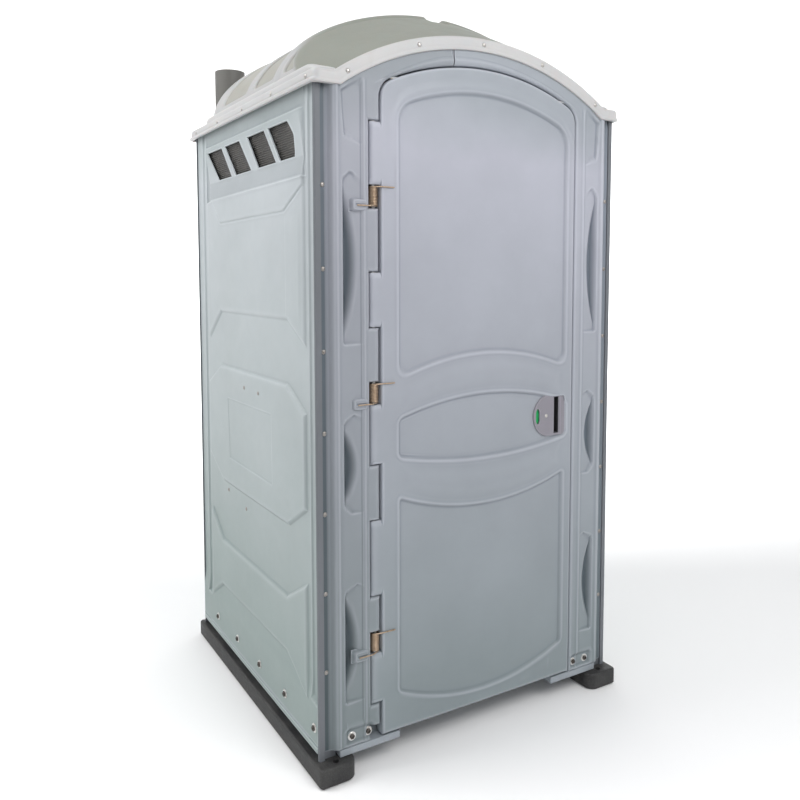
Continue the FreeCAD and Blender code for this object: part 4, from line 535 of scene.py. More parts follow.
def roof_finish():
    """Roof sheet: white rim and ribs, beige bays on the flanks, and painted shade on the thin front
    slope, which turns it a darker greenish grey. The marks dome, bay and slope say where each shows."""
    f = Finish("roof_plastic")
    cloud = f.ramp(f.noise(4.0, 5.0, 0.6), (0.3, 0.0), (0.7, 1.0))
    base = f.mix(cloud, (0.455, 0.455, 0.46), (0.50, 0.495, 0.49))
    base = f.mix(f.mark("dome"), base, f.mix(cloud, (0.375, 0.375, 0.38), (0.42, 0.42, 0.42)))
    base = f.mix(f.mark("bay"), base, f.mix(cloud, (0.30, 0.295, 0.265), (0.335, 0.33, 0.295)))
    # Painted shade on the front slope.
    base = f.mix(f.mark("slope"), base, f.mix(cloud, (0.20, 0.21, 0.18), (0.235, 0.245, 0.215)))
    speck = f.ramp(f.noise(300.0, 2.0, 0.5), (0.62, 0.0), (0.75, 1.0))
    base = f.mix(f.math("MULTIPLY", speck, 0.08), base, (0.25, 0.23, 0.20))
    streak = f.ramp(f.noise(7.0, 5.0, 0.7, stretch=(3.0, 3.0, 0.6)), (0.55, 0.0), (0.78, 1.0))
    base = f.mix(f.math("MULTIPLY", streak, 0.12), base, (0.30, 0.285, 0.25))
    # Painted shade in the roof's hollows.
    base = f.mix(f.between(f.mark("bend"), 1.0, 0.4), base, (0.62, 0.61, 0.60), "MULTIPLY")
    normal = f.bump(f.noise(10.0, 2.0, 0.4), 0.003, 0.5)
    normal = f.bump(f.noise(520.0, 3.0, 0.55), 0.00025, 0.5, after=normal)
    rough = f.ramp(f.noise(8.0, 6.0, 0.65), (0.3, 0.40), (0.7, 0.54))
    return f.done(Base_Color=base, Roughness=rough, Normal=normal, Specular_IOR_Level=0.4,
                  Subsurface_Weight=0.08, Subsurface_Scale=0.012)


def indicator_finish():
    """Indicator flag: green in the sector that the window shows when free, red beside it."""
    f = Finish("indicator_colours")
    parts = f.node("SeparateXYZ", Vector=f.where)
    level = f.math("ABSOLUTE", f.math("SUBTRACT", parts.outputs["Z"], LATCH_Z * 0.001))
    across = f.math("SUBTRACT", LATCH_X * 0.001, parts.outputs["X"])
    is_green = f.math("GREATER_THAN", f.math("SUBTRACT", across, level), 0.0)
    cloud = f.noise(90.0, 4.0, 0.6)
    green = f.mix(cloud, (0.0, 0.22, 0.05), (0.005, 0.36, 0.10))
    red = f.mix(cloud, (0.42, 0.012, 0.01), (0.56, 0.03, 0.02))
    normal = f.bump(f.noise(900.0, 2.0, 0.5), 0.0001, 0.5)
    return f.done(Base_Color=f.mix(is_green, red, green), Roughness=0.35, Normal=normal)


def screen_finish():
    """Moulded louvre screen: dark grey, dusty on its upper edges."""
    f = Finish("screen_plastic")
    dust = f.ramp(f.noise(26.0, 6.0, 0.7), (0.42, 0.0), (0.72, 1.0))
    base = f.mix(dust, (0.075, 0.072, 0.068), (0.16, 0.155, 0.145))
    normal = f.bump(f.noise(300.0, 4.0, 0.6), 0.0004, 0.5)
    return f.done(Base_Color=base, Roughness=f.ramp(dust, (0.0, 0.5), (1.0, 0.8)), Normal=normal)


def paper_finish():
    """Tissue on a roll: white, with fine embossing and soft edges of the wound layers."""
    f = Finish("paper")
    emboss = f.node("TexVoronoi", Vector=f.where, Scale=420.0).outputs["Distance"]
    layers = f.noise(240.0, 2.0, 0.5, stretch=(1.0, 0.05, 1.0))
    base = f.mix(f.noise(30.0, 4.0, 0.6), (0.78, 0.78, 0.77), (0.86, 0.855, 0.84))
    normal = f.bump(emboss, 0.0006, 0.5)
    normal = f.bump(layers, 0.0004, 0.5, after=normal)
    return f.done(Base_Color=base, Roughness=0.9, Normal=normal, Sheen_Weight=0.15)


roof_plastic = roof_finish()
skid_plastic = skid_finish()
indicator_colours = indicator_finish()
screen_plastic = screen_finish()
paper = paper_finish()


# Door leaf
def knuckle_ends(zones):
    """Heights of the ends of the knuckles in their zones, from low to high."""
    return np.array([end for low, high in zones for end in (low + KNUCKLE_GAP, high - KNUCKLE_GAP)])


def door_curves():
    """Edges of the fields and crescents from low to high, as arcs through their ends and
    middle; the upper field ends along the door's own arch."""
    return {
        "lower_low": arc_through(*LOWER_SIDES, 200, 129),
        "lower_high": arc_through(*LOWER_SIDES, 790, 728),
        "swell_low": arc_through(*CRESCENT_SIDES, 808, 746),
        "swell_high": arc_through(*CRESCENT_SIDES, 890, 855),
        "band_low": arc_through(*BAND_SIDES, 908, 873),
        "band_high": arc_through(*BAND_SIDES, 1022, 1076),
        "brow_low": arc_through(*CRESCENT_SIDES, 1040, 1094),
        "brow_high": arc_through(*CRESCENT_SIDES, 1124, 1188),
        "upper_low": arc_through(*UPPER_SIDES, 1139, 1203),
        "upper_high": (0.0, ARCH_Z, DOOR_R - 73.0)}


def heights_at(guides, here):
    """Heights of guides, which are functions of arrays, at one place."""
    return np.array([guide(np.array([here]))[0] for guide in guides])


def stretched_rows(x, lines, guides, here):
    """Heights of grid rows at each x: each row keeps its share between two neighbouring
    guides as it has between their heights at one place."""
    levels = heights_at(guides, here)
    heights = np.stack([guide(x) for guide in guides])
    below = np.clip(np.searchsorted(levels, lines, side="right") - 1, 0, len(guides) - 2)
    share = ((lines - levels[below]) / (levels[below + 1] - levels[below]))[:, None]
    return heights[below] * (1 - share) + heights[below + 1] * share


def pressed_edge(inside):
    """Profile of a pressed field: a soft shoulder, an even drop, and a small bead along its
    foot."""
    slope = 8.5
    drop = SINK * even_slope((inside + 1.0) / slope)
    return drop - 1.1 * bump_at(inside, -5.0, 6.5) - 0.5 * bump_at(inside, slope + 3.0, 3.4)


def door_relief(x, z, curves):
    """Depth of the door's face behind its flat rim at every grid point: three sunk fields, less
    two raised crescents that thin out towards their ends, a fuller rim near the crown, and a
    short bead near the foot."""
    def field(name, sides, corner):
        """Distance inside one field or crescent."""
        return inside_band(x, z, sides, curves[name + "_low"], curves[name + "_high"], corner)

    upper = field("upper", UPPER_SIDES, 42.0)
    relief = (pressed_edge(upper) + pressed_edge(field("band", BAND_SIDES, 16.0))
              + pressed_edge(field("lower", LOWER_SIDES, 14.0)))
    near_crown = ease((z - 1720) / 120.0)
    relief -= near_crown * 2.6 * bump_at(upper, -17.0, 20.0)
    left, right = CRESCENT_SIDES
    ends = ease((x - left + 8) / 90.0) * ease((right + 8 - x) / 90.0)
    for name in ("swell", "brow"):
        relief -= 5.5 * ease(field(name, CRESCENT_SIDES, 8.0) / 34.0) * (0.35 + 0.65 * ends)
    bead_start, bead_end = (162, 110), (281, 143)
    from_bead = np.hypot(*(np.stack([x, z]) - nearest_on_line(x, z, bead_start, bead_end)))
    relief -= 2.6 * ease(1 - from_bead / 7.0)
    return relief


def nearest_on_line(x, z, start, end):
    """Nearest point of a straight stretch: the clipped share of its run."""
    run = np.subtract(end, start)
    share = np.clip(((x - start[0]) * run[0] + (z - start[1]) * run[1]) / np.dot(run, run), 0, 1)
    return np.stack([start[0] + share * run[0], start[1] + share * run[1]])


def inside_door(x, z):
    """Distance inside the door's outline: straight sides and foot, the big arc, round
    shoulders that touch both, and knuckles that reach past the hinge axis."""
    up = z - ARCH_Z
    leaf = np.where(up > 0, DOOR_R - np.hypot(x, up), 1e3)
    leaf = np.minimum(leaf, np.minimum(x - DOOR_LEFT, DOOR_RIGHT - x))
    for away, limit in ((x, DOOR_RIGHT), (-x, -DOOR_LEFT)):
        centre = limit - SHOULDER
        rise = math.sqrt((DOOR_R - SHOULDER) ** 2 - centre ** 2)
        shoulder = (away > centre) & (up > rise) & (away * rise > up * centre)
        leaf = np.where(shoulder, SHOULDER - np.hypot(away - centre, up - rise), leaf)
    leaf = np.minimum(leaf, z - DOOR_FOOT)
    for low, high in DOOR_KNUCKLES:
        ears = np.minimum(z - low - KNUCKLE_GAP, high - KNUCKLE_GAP - z)
        barrel = np.minimum(ears, x - (HINGE_X - BARREL_R))
        leaf = np.where((x < DOOR_LEFT + 30), np.maximum(leaf, barrel), leaf)
    return leaf


def door_edge_z(x):
    """Height of the leaf's top edge: the big arc, rounded into the sides."""
    arc = arc_height((0.0, ARCH_Z, DOOR_R), x)
    result = arc
    for side, sign in ((DOOR_RIGHT, 1.0), (DOOR_LEFT, -1.0)):
        centre = side - sign * SHOULDER
        rise = math.sqrt((DOOR_R - SHOULDER) ** 2 - centre ** 2)
        tangent = centre * DOOR_R / (DOOR_R - SHOULDER)
        run = np.clip(sign * (x - centre), 0.0, SHOULDER)
        corner = ARCH_Z + rise + np.sqrt(SHOULDER ** 2 - run ** 2)
        result = np.where(sign * (x - tangent) > 0, corner, result)
    return result


def make_door():
    """Door skin: a grid whose rows follow the arcs of the fields and whose columns close up at
    their sides. At the hinge the nearest rows move onto the knuckles' ends, and knuckle faces
    are kept only in their zones."""
    curves = door_curves()
    reach = HINGE_X - BARREL_R
    columns = graded(reach, DOOR_RIGHT, [reach, DOOR_LEFT, *UPPER_SIDES, DOOR_RIGHT], 9.0, 1.5, 9.0,
                     exact=(DOOR_LEFT,))
    columns = with_even_stretch(columns, LATCH_X - 60, LATCH_X + 86, 3.2)

    def guide(curve):
        """Height of a curve, level beyond the upper field's sides."""
        return lambda x: arc_height(curve, np.clip(x, *UPPER_SIDES))

    guides = [lambda x: np.full(x.shape, DOOR_FOOT), *map(guide, curves.values()), door_edge_z]
    marks = heights_at(guides, DOOR_MIDDLE)
    level = dict(zip(curves, marks[1:]))
    lines = graded(DOOR_FOOT, marks[-1], marks, 9.5, 1.9, 10.0, exact=marks)
    lines = with_even_stretch(lines, level["band_low"] + 12, level["band_high"] - 12, 3.3)
    z = stretched_rows(np.maximum(columns, DOOR_LEFT), lines, guides, DOOR_MIDDLE)
    at_hinge = z[:, np.argmin(np.abs(columns - UPPER_SIDES[0]))]
    limits = knuckle_ends(DOOR_KNUCKLES)
    nearest = np.argmin(np.abs(at_hinge[:, None] - limits), axis=0)
    above_hinge, far_above = 1905.0, 3000.0
    snapped = np.interp(at_hinge, [DOOR_FOOT, *at_hinge[nearest], above_hinge, far_above],
                        [DOOR_FOOT, *limits, above_hinge, far_above])
    share = ease((UPPER_SIDES[0] - 2.0 - columns) / 40.0)
    z = z + share * (snapped - at_hinge)[:, None] * (at_hinge < above_hinge)[:, None]
    x = np.broadcast_to(columns, z.shape)
    inside = inside_door(x, z)
    hinge_side = (x < DOOR_LEFT + 14) & (np.abs(inside - (x - reach)) < 0.6)
    round_off = np.where(hinge_side, fall_back(inside, BARREL_R), fall_back(inside, 6.0))
    depth = FACE + door_relief(x, z, curves) + round_off
    depth = np.minimum(depth, FACE + 16.0)
    middle_x = (x[:-1, :-1] + x[1:, 1:]) / 2
    middle_z = (z[:-1, :-1] + z[1:, 1:] + z[:-1, 1:] + z[1:, :-1]) / 4
    keep = middle_x > DOOR_LEFT
    for low, high in DOOR_KNUCKLES:
        keep |= (middle_x < DOOR_LEFT) & (middle_z > low + 1) & (middle_z < high - 1)
    keep &= inside_plate(middle_x - LATCH_X, middle_z - LATCH_Z) < 5.0
    points = mm(x, depth, z)
    faces = grid_faces(*z.shape, keep=keep)

    def outer_edge(p):
        """Points away from the opening for the latch."""
        return np.hypot(p[:, 0] - LATCH_X * 0.001, p[:, 2] - LATCH_Z * 0.001) > 0.11

    return thick(*carried_back(points, faces, 14.0, outer_edge))


# Latch plate
def inside_plate(x, z):
    """Distance inside the plate's outline, measured from the spindle: a round left side, and a
    right side with rounded corners."""
    left = PLATE_BOW - np.hypot(x - PLATE_BOW_X, z)
    right = inside_corner(x - PLATE_RIGHT, np.abs(z) - PLATE_HALF, PLATE_CORNER)
    return np.where(x < 0, np.minimum(left, right), right)


def make_latch_plate():
    """Latch plate: a fine grid whose columns are drawn in to the outline on both sides, with a
    rounded edge, a finger slot that drops back as a cup, and an eight-sided window."""
    window = [(-43, -14), (-38, -25), (-32, -25), (-27, -14), (-27, 14), (-32, 25), (-38, 25),
              (-43, 14)]
    across = graded(PLATE_LEFT, PLATE_RIGHT, [PLATE_LEFT, SLOT_LEFT, SLOT_RIGHT, PLATE_RIGHT, -43, -27],
                    1.5, 0.7, 4.0, exact=(0.0, SLOT_LEFT, SLOT_RIGHT))
    upright = graded(-PLATE_HALF, PLATE_HALF, [-PLATE_HALF, -SLOT_HALF, SLOT_HALF, PLATE_HALF, -25, 25],
                     1.6, 0.7, 4.0, exact=(-SLOT_HALF, SLOT_HALF))
    u, v = np.meshgrid(across, upright)
    bow = np.sqrt(np.maximum(PLATE_BOW ** 2 - v ** 2, 0.0)) - PLATE_BOW_X
    x = np.where(u < 0, -u * bow / PLATE_LEFT, u)
    in_corner = np.clip(np.abs(v) - PLATE_HALF + PLATE_CORNER, 0, PLATE_CORNER)
    drawn_in = PLATE_CORNER - np.sqrt(np.maximum(PLATE_CORNER ** 2 - in_corner ** 2, 0.0))
    strip_width = PLATE_RIGHT - SLOT_RIGHT
    x = np.where(u > SLOT_RIGHT, SLOT_RIGHT + (u - SLOT_RIGHT) * (strip_width - drawn_in) / strip_width, x)
    depth = -18.0 + fall_back(inside_plate(x, v), 2.6)
    lip = np.minimum(np.minimum(x - SLOT_LEFT, SLOT_RIGHT - x), SLOT_HALF - np.abs(v))
    strip = ease((x - SLOT_RIGHT - 3.0) / 3.0)
    depth += strip * (1.0 - bump_at(x, 60.0, 7.0)) + 1.6 * ease((lip + 2.0) / 2.0) * (lip < 0)
    window_edge = 2.2
    depth += 1.4 * ease((inside_outline(x, v, window) + window_edge) / window_edge)
    middle_x = (x[:-1, :-1] + x[1:, 1:]) / 2
    middle_v = (v[:-1, :-1] + v[1:, 1:]) / 2
    slot = (middle_x > SLOT_LEFT) & (middle_x < SLOT_RIGHT) & (np.abs(middle_v) < SLOT_HALF)
    keep = ~slot & (inside_outline(middle_x, middle_v, window) < 0.25)
    faces = grid_faces(*x.shape, keep=keep)
    plate = thick(*carried_back(mm(x + LATCH_X, depth, v + LATCH_Z), faces, -12.4), 1.5)
    return plate, make_latch_cup()


def make_latch_cup():
    """Cup of the finger slot: the slot's oblong carried back through levels, each drawn in
    towards the middle, until it closes as a floor."""
    side = graded(0, 1, [0, 1], 0.2, 0.05, 0.1)
    level = np.ones(len(side))
    half, middle = (SLOT_RIGHT - SLOT_LEFT) / 2, (SLOT_LEFT + SLOT_RIGHT) / 2
    ring_x = np.concatenate([2 * half * side - half, half * level, half - 2 * half * side, -half * level])
    ring_v = SLOT_HALF * np.concatenate([-level, 2 * side - 1, level, 1 - 2 * side])
    depth = np.array([-16.4, -14.0, -8.0, 0.0, 2.0, 3.0, 3.0, 3.0])
    drawn_in = np.array([0.0, 0.4, 0.5, 0.8, 1.4, 2.6, 6.0, 9.4])
    x = LATCH_X + middle + ring_x[None] * (1 - drawn_in / half)[:, None]
    z = LATCH_Z + ring_v[None] * (1 - drawn_in / SLOT_HALF)[:, None]
    return thick(mm(x, depth[:, None], z), grid_faces(*x.shape, round_columns=True)[:, ::-1], 1.4)


# Front frame: both halves are drawn on the right, and the left one is mirrored
FRAME_R = ARCH_R - 45.0        # doorway's arch
FRAME_SHOULDER = SHOULDER + 4.0


def frame_sizes(side):
    """Distances from the middle of a half's innermost line, its jamb's edge and its end at the
    seam, and the height at which its shoulder starts: where a circle of the shoulder's radius
    touches both the innermost line and the arch."""
    inner_x, jamb_x = (KNUCKLE_LINE, JAMB_LEFT) if side < 0 else (JAMB_RIGHT, JAMB_RIGHT)
    seam = HEADER_GAP - HEADER_SEAM if side < 0 else HEADER_SEAM + HEADER_GAP
    rise = ARCH_Z + math.sqrt((FRAME_R - FRAME_SHOULDER) ** 2 - (inner_x - FRAME_SHOULDER) ** 2)
    return inner_x, jamb_x, seam, rise


def frame_paths(side):
    """Inner and outer path of a half, point by point: straight up the jamb, round the shoulder,
    and along two arches to the seam. The outer path turns its shoulder as a square corner."""
    inner_x, _, seam, rise = frame_sizes(side)
    centre = inner_x - FRAME_SHOULDER
    pocket_ends = [1800, 1972, 1246, 1725, 764, 1050, 212, 560, 90, 127]
    ends, exact = [FRAME_FOOT, *pocket_ends], [FRAME_FOOT + 1.0]
    if side < 0:
        zones = [*knuckle_ends(FRAME_KNUCKLES), KNUCKLE_TOP]
        ends, exact = ends + zones, exact + zones
    stations = graded(FRAME_FOOT, rise, ends, 8.0, 1.8, 9.0, exact=exact)
    turn_to = math.acos(centre / (FRAME_R - FRAME_SHOULDER))
    turn = np.linspace(0, turn_to, 26)[1:]
    last = math.acos(seam / FRAME_R)
    dense = 0.012
    sweep = np.concatenate([np.linspace(turn_to, last - dense, 88)[1:],
                            last - dense * (1 - np.linspace(0, 1, 10)[1:])])
    ix = np.concatenate([np.full(len(stations), inner_x), centre + FRAME_SHOULDER * np.cos(turn),
                         FRAME_R * np.cos(sweep)])
    iz = np.concatenate([stations, rise + FRAME_SHOULDER * np.sin(turn),
                         ARCH_Z + FRAME_R * np.sin(sweep)])
    outer_r = ARCH_R + 20.0
    shoulder_z = EAVE + 20.0
    meet = math.sqrt(outer_r ** 2 - (shoulder_z - ARCH_Z) ** 2)
    meet_angle = math.acos(meet / outer_r)
    end_angle = math.acos(seam / outer_r)
    outer_sweep = meet_angle + (sweep - turn_to) * (end_angle - meet_angle) / (last - turn_to)
    way = turn / turn_to
    turns_at = [0, 0.55, 1.0]
    ox = np.concatenate([np.full(len(stations), POST_EDGE),
                         np.interp(way, turns_at, [POST_EDGE, POST_EDGE, meet]),
                         outer_r * np.cos(outer_sweep)])
    oz = np.concatenate([stations, np.interp(way, turns_at, [rise, shoulder_z, shoulder_z]),
                         ARCH_Z + outer_r * np.sin(outer_sweep)])
    return ix, iz, ox, oz


def frame_grid(side):
    """Grid of a half: columns run from the inner path to the outer one. They keep their
    distances near the doorway's edge and close up beyond it where the header is narrow. Gives
    x, z and the distance from the inner path."""
    inner_x, jamb_x = frame_sizes(side)[:2]
    ix, iz, ox, oz = frame_paths(side)
    width = np.hypot(ox - ix, oz - iz)
    span, step_in = POST_EDGE - inner_x, jamb_x - inner_x
    folds = (411.0, 421.0, 440.0, 470.0, 495.0, 510.0, POST_EDGE)
    across = graded(0.0, span, [0.0, step_in] + [fold - inner_x for fold in folds], 5.5, 1.3, 5.5,
                    exact=(step_in, span - 15.0))
    edge = 12.0
    narrow = np.clip((width - edge) / (span - edge), 0.05, 1.0)[:, None]
    distance = np.where(across[None] < edge, across[None], edge + (across[None] - edge) * narrow)
    share = distance / width[:, None]
    x = ix[:, None] * (1 - share) + ox[:, None] * share
    z = iz[:, None] * (1 - share) + oz[:, None] * share
    return x, z, distance


def make_frame(side):
    """One half of the front frame: a face with one depth per point, rounded back at the
    doorway, the foot and the seam, with the jamb's relief, a bead along the header and a flange
    that steps back to the post. The left half has knuckles in their zones."""
    inner_x, jamb_x, seam, rise = frame_sizes(side)
    x, z, distance = frame_grid(side)
    inside = distance.copy()
    middle_z, middle_x = (z[:-1, :-1] + z[1:, 1:]) / 2, (x[:-1, :-1] + x[1:, 1:]) / 2
    keep = np.ones(middle_x.shape, bool)
    if side < 0:
        knuckle, in_zone = z - KNUCKLE_TOP, middle_z > KNUCKLE_TOP
        for low, high in knuckle_ends(FRAME_KNUCKLES).reshape(-1, 2):
            knuckle = np.maximum(knuckle, np.minimum(z - low, high - z))
            in_zone |= (middle_z > low) & (middle_z < high)
        inside = np.where(z < rise, np.maximum(x - jamb_x, np.minimum(x - inner_x, knuckle)), inside)
        keep = (middle_x > jamb_x) | in_zone | (z[:-1, :1] > rise)
    inside = np.minimum(inside, np.where(z < 400, z - FRAME_FOOT, 1e3))
    barrel = (side < 0) & (z < 1630) & (x < jamb_x + 4) & (np.abs(inside - (x - inner_x)) < 0.6)
    depth = FACE + np.where(barrel, fall_back(inside, BARREL_R - 1), fall_back(inside, 8.0))
    from_seam = np.arctan2(x, z - ARCH_Z) - math.asin(seam / FRAME_R)
    depth += fall_back(np.hypot(x, z - ARCH_Z) * from_seam, 2.5)
    relief, sunk = frame_relief(x, z)
    depth += relief
    header = ease((z - 1960.0) / 40.0)
    depth -= header * 2.6 * bump_at(distance, 15.0, 13.0)
    depth -= (1 - header) * 2.0 * bump_at(x, 411.0, 8.0)
    flange = ease((x - 501.0) / 20.0)
    depth = depth * (1 - flange) - 2.2 * bump_at(x, 495.0, 7.0) * (1 - header)
    points, faces = mm(x, np.minimum(depth, 22.0), z), grid_faces(*x.shape, keep=keep)

    def doorway(p):
        """Points on the doorway's own edge, not at the seam nor at the post."""
        under_arch = np.hypot(p[:, 0], p[:, 2] - ARCH_Z * 0.001) < (FRAME_R + 8) * 0.001
        return (p[:, 0] < 0.40) & (under_arch | (p[:, 2] < 1.5)) & (p[:, 0] > seam * 0.001 + 0.0005)

    points, faces = carried_back(points, faces, 26.0, doorway)
    points, faces = thick(*(mirrored(points, faces) if side < 0 else (points, faces)))
    # The mark sunk holds the painted shade of the scoops and of the flange by the post.
    return points, faces, {"sunk": mark_both(sunk, points)}


def frame_relief(x, z):
    """Depth of the jamb's channel, slanting pockets and hand scoops behind its face, and a
    mark of painted shade: deep in a scoop, and out on the flange by the post. The pockets' floors
    fall away outwards."""
    channel = np.minimum(x - 419.0, 489.0 - x)
    relief = 2.0 * ease((channel + 1.0) / 4.0)
    near, far = 412, 478
    pockets = [[(near, 1800), (474, 1822), (482, 1949), (near, 1984)],
               [(near, 1246), (far, 1246), (far, 1712), (462, 1728), (near, 1700)],
               [(near, 764), (440, 764), (far, 786), (far, 1028), (436, 1050), (near, 1040)],
               [(near, 212), (far, 210), (far, 540), (428, 560), (near, 552)]]
    pocket_depth, pocket_corner = 9.0, 9.0
    for outline in pockets:
        inside = inside_rounded(x, z, outline, pocket_corner)
        floor = pocket_depth * np.clip((x - near) / 60.0, 0.0, 1.0)
        relief += floor * ease((inside + 1.0) / 8.0)
    scoops = ((1262.0, 1690.0), (790.0, 1012.0), (240.0, 530.0))
    scoop_edge, scoop_width, scoop_depth = 472.0, 42.0, 17.0
    sunk = np.zeros(np.shape(x))
    for low, high in scoops:
        middle, half = (low + high) / 2, (high - low) / 2
        bulge = scoop_width * np.clip(1 - ((z - middle) / half) ** 2, 0.0, 1.0)
        inside = np.minimum(x - (scoop_edge - bulge), (scoop_edge + 4.0 - x) * 3.0)
        inside = np.where(np.abs(z - middle) < half, inside, -9.0) * (bulge > 0.5)
        relief += scoop_depth * ease((inside + 1.0) / 34.0) * (bulge > 0.5)
        # Painted shade deep in the scoop.
        sunk = np.maximum(sunk, ease((inside - 2.0) / 24.0))
    relief *= ease((1990.0 - z) / 30.0)
    around_bolts = [(384.0, 84.0), (478.0, 84.0), (478.0, 136.0), (384.0, 136.0)]
    foot = inside_rounded(x, z, around_bolts, 14.0)
    relief = np.where(foot > -12.0, 9.0 * ease((foot + 4.0) / 14.0), relief)
    # Painted shade also on the flange between the frame and the post.
    return relief, np.maximum(sunk, ease((x - 520.0) / 6.0) * ease((2040.0 - z) / 60.0))


def make_pad(low):
    """Raised pad under a spring's lower leg, on the jamb. Its rim is where the fifth powers of
    the shares of its half width and half height add up to one, and its height falls towards
    the rim. A low bead lies behind the leg."""
    half_width, half_height, rounding = 29.0, 20.0, 5
    u, v = np.meshgrid(np.linspace(-1, 1, 34), np.linspace(-1, 1, 28))
    leg = low + 7.0
    x, z = HINGE_X - 51.0 + half_width * u, leg - 1.0 + half_height * v
    rim = 24.0 - 24.0 * (np.abs(u) ** rounding + np.abs(v) ** rounding) ** (1 / rounding)
    depth = FACE + 9.0 - 14.0 * ease(rim / 8.0) + 1.4 * bump_at(z, leg, 5.0) * (u > -0.5)
    points, faces = carried_back(mm(x, depth, z), grid_faces(*x.shape), FACE + 12.0)
    return thick(points, faces, 2.5)


# Walls. A side wall is seen from outside, with u from front to back and v up
FIELD_SLOPE = 9.5              # run of the slope round each field
FIELDS_FRONT, FIELDS_REAR = 68.0, 945.0
WINDOW_LOW, WINDOW_HIGH = 1776.0, 1886.0
WINDOW_FEET = np.array([(126.0, 236.0), (267.0, 415.0), (477.0, 626.0), (664.0, 804.0)])
WINDOW_HEADS = np.array([(184.0, 332.0), (365.0, 513.0), (589.0, 738.0), (771.0, 932.0)])
BAY = [(60, 1716), (94, 1909), (958, 1907), (892, 1708)]


def pressed_fields(u, v, outlines, depth):
    """Deepest of several pressed fields at each point: each drops down an even slope, with a
    low bead along the shoulder."""
    relief = np.zeros(u.shape)
    for outline in outlines:
        inside = inside_outline(u, v, outline)
        relief = np.maximum(relief, depth * even_slope((inside + 0.5) / FIELD_SLOPE))
        relief -= 0.9 * bump_at(inside, -4.0, 4.5)
    return relief


def raised_fields(u, v, fields, base):
    """Depth of a wall whose fields stand out from a sunk base: base less the highest field at
    each point. Each field rises up an even slope inside its outline, to a low bead."""
    height = np.zeros(u.shape)
    for outline, rise in fields:
        inside = inside_outline(u, v, outline)
        height = np.maximum(height, rise * even_slope((inside + 1.0) / FIELD_SLOPE)
                            + 0.6 * bump_at(inside, FIELD_SLOPE + 4.0, 5.0))
    return np.maximum(base - height, -0.6)


def side_wall_grid():
    """Grid of a side wall: rows follow the edges of the fields, and above the windows' foot the
    columns lean with the windows, then straighten up towards the eave. Gives u, v and the
    faces that the windows leave out."""
    hem, hem_rear = 4.0, 1059.0
    front, rear, low, high = FIELDS_FRONT, FIELDS_REAR, WINDOW_LOW, WINDOW_HIGH
    folds = [hem, 20, 54, front, 112, 204, 322, 728, 795, 885, rear, 962, 1010, hem_rear]
    columns = graded(hem, hem_rear, folds, 8.0, 1.7, 8.0, exact=WINDOW_FEET.ravel())

    def level(turns, outer, inner, outer_rear=None):
        """Guide along a field's edge: one height at both ends and another between the turns."""
        ends = [outer, inner, inner, outer if outer_rear is None else outer_rear]
        return lambda u: np.interp(u, [front, *turns, rear], ends)

    def flat(height):
        """Guide at one height."""
        return lambda u: np.full(u.shape, height)

    guides = [flat(PANEL_FOOT), flat(96.0), level((220, 827), 212, 290), level((214, 817), 554, 470),
              level((200, 800), 767, 690), level((200, 805), 1048, 1120),
              level((201, 800), 1236, 1308, 1203),
              lambda u: np.interp(u, [front, 207, 788, 888], [1690, 1624, 1620, 1706]), flat(1716.0),
              flat(low), flat(high), flat(1908.0), flat(PANEL_TOP)]
    middle_u = 500.0
    marks = heights_at(guides, middle_u)
    label_edges = (789.0, 1006.0)
    lines = graded(marks[0], marks[-1], [*marks, *label_edges], 8.5, 1.7, 8.0, exact=marks)
    v = stretched_rows(columns, lines, guides, middle_u)
    lean = np.clip((v - low) / (high - low), 0, 1) * ease((PANEL_TOP - v) / (PANEL_TOP - high))
    ends, tops = ([hem, 70.0, *places.ravel(), 1000.0, hem_rear]
                  for places in (WINDOW_FEET, WINDOW_HEADS))
    u = columns + lean * (np.interp(columns, ends, tops) - columns)
    kink = np.clip(np.minimum((v - low) / 65.0, (high - v) / 45.0), 0, 1)
    u = u - 22.0 * kink * np.clip(1 - np.abs(columns - WINDOW_FEET[0, 0]) / 50.0, 0, 1)
    column, row = (columns[1:] + columns[:-1]) / 2, ((lines[1:] + lines[:-1]) / 2)[:, None]
    hole = np.zeros((len(lines) - 1, len(columns) - 1), bool)
    for left, right in WINDOW_FEET:
        hole |= (column > left) & (column < right) & (row > low) & (row < high)
    return u, v, hole


def wall_fields(u, v):
    """Depth of a side wall without its vent bay: octagonal fields that stand out, edge strips
    that are sunk, and two low swellings beside the fields' front corners."""
    front, rear = FIELDS_FRONT, FIELDS_REAR
    upper = [(front, 1702), (207, 1636), (788, 1632), (888, 1718), (rear, 1718),
             (rear, 1203), (800, 1308), (201, 1308), (front, 1236)]
    belt = [(front, 1048), (200, 1120), (805, 1120), (rear, 1048), (rear, 767), (800, 690),
            (200, 690), (front, 767)]
    lower = [(front, 554), (214, 470), (817, 470), (rear, 560), (rear, 218), (827, 290), (220, 290),
             (front, 212)]
    above = [(front, 1690), (207, 1624), (788, 1620), (888, 1706), (rear, 1706), (rear, 2100),
             (front, 2100)]
    strips = [[(-30, 205), (54, 227), (54, 1977), (-30, 1977)],
              [(962, 205), (1010, 205), (1010, 1977), (962, 1977)]]
    base_depth, foot_depth = 9.0, 3.5
    base = foot_depth + (base_depth - foot_depth) * ease((v - 215.0) / 60.0)
    relief = raised_fields(u, v, [(upper, 5.5), (belt, base_depth), (lower, base_depth),
                                  (above, base_depth)], base)
    relief = np.maximum(relief, pressed_fields(u, v, strips, 14.0))
    swellings = ((206.0, 1618.0, 1312.0), (208.0, 465.0, 296.0))
    for edge, top, bottom in swellings:
        fold = ease((u - 78.0) / 30.0) * ease((edge - u) / 6.0) * ease((top - v) / 20.0)
        relief -= 2.6 * fold * ease((v - bottom) / 20.0) * np.clip((edge - u) / 100.0, 0.35, 1)
    return relief


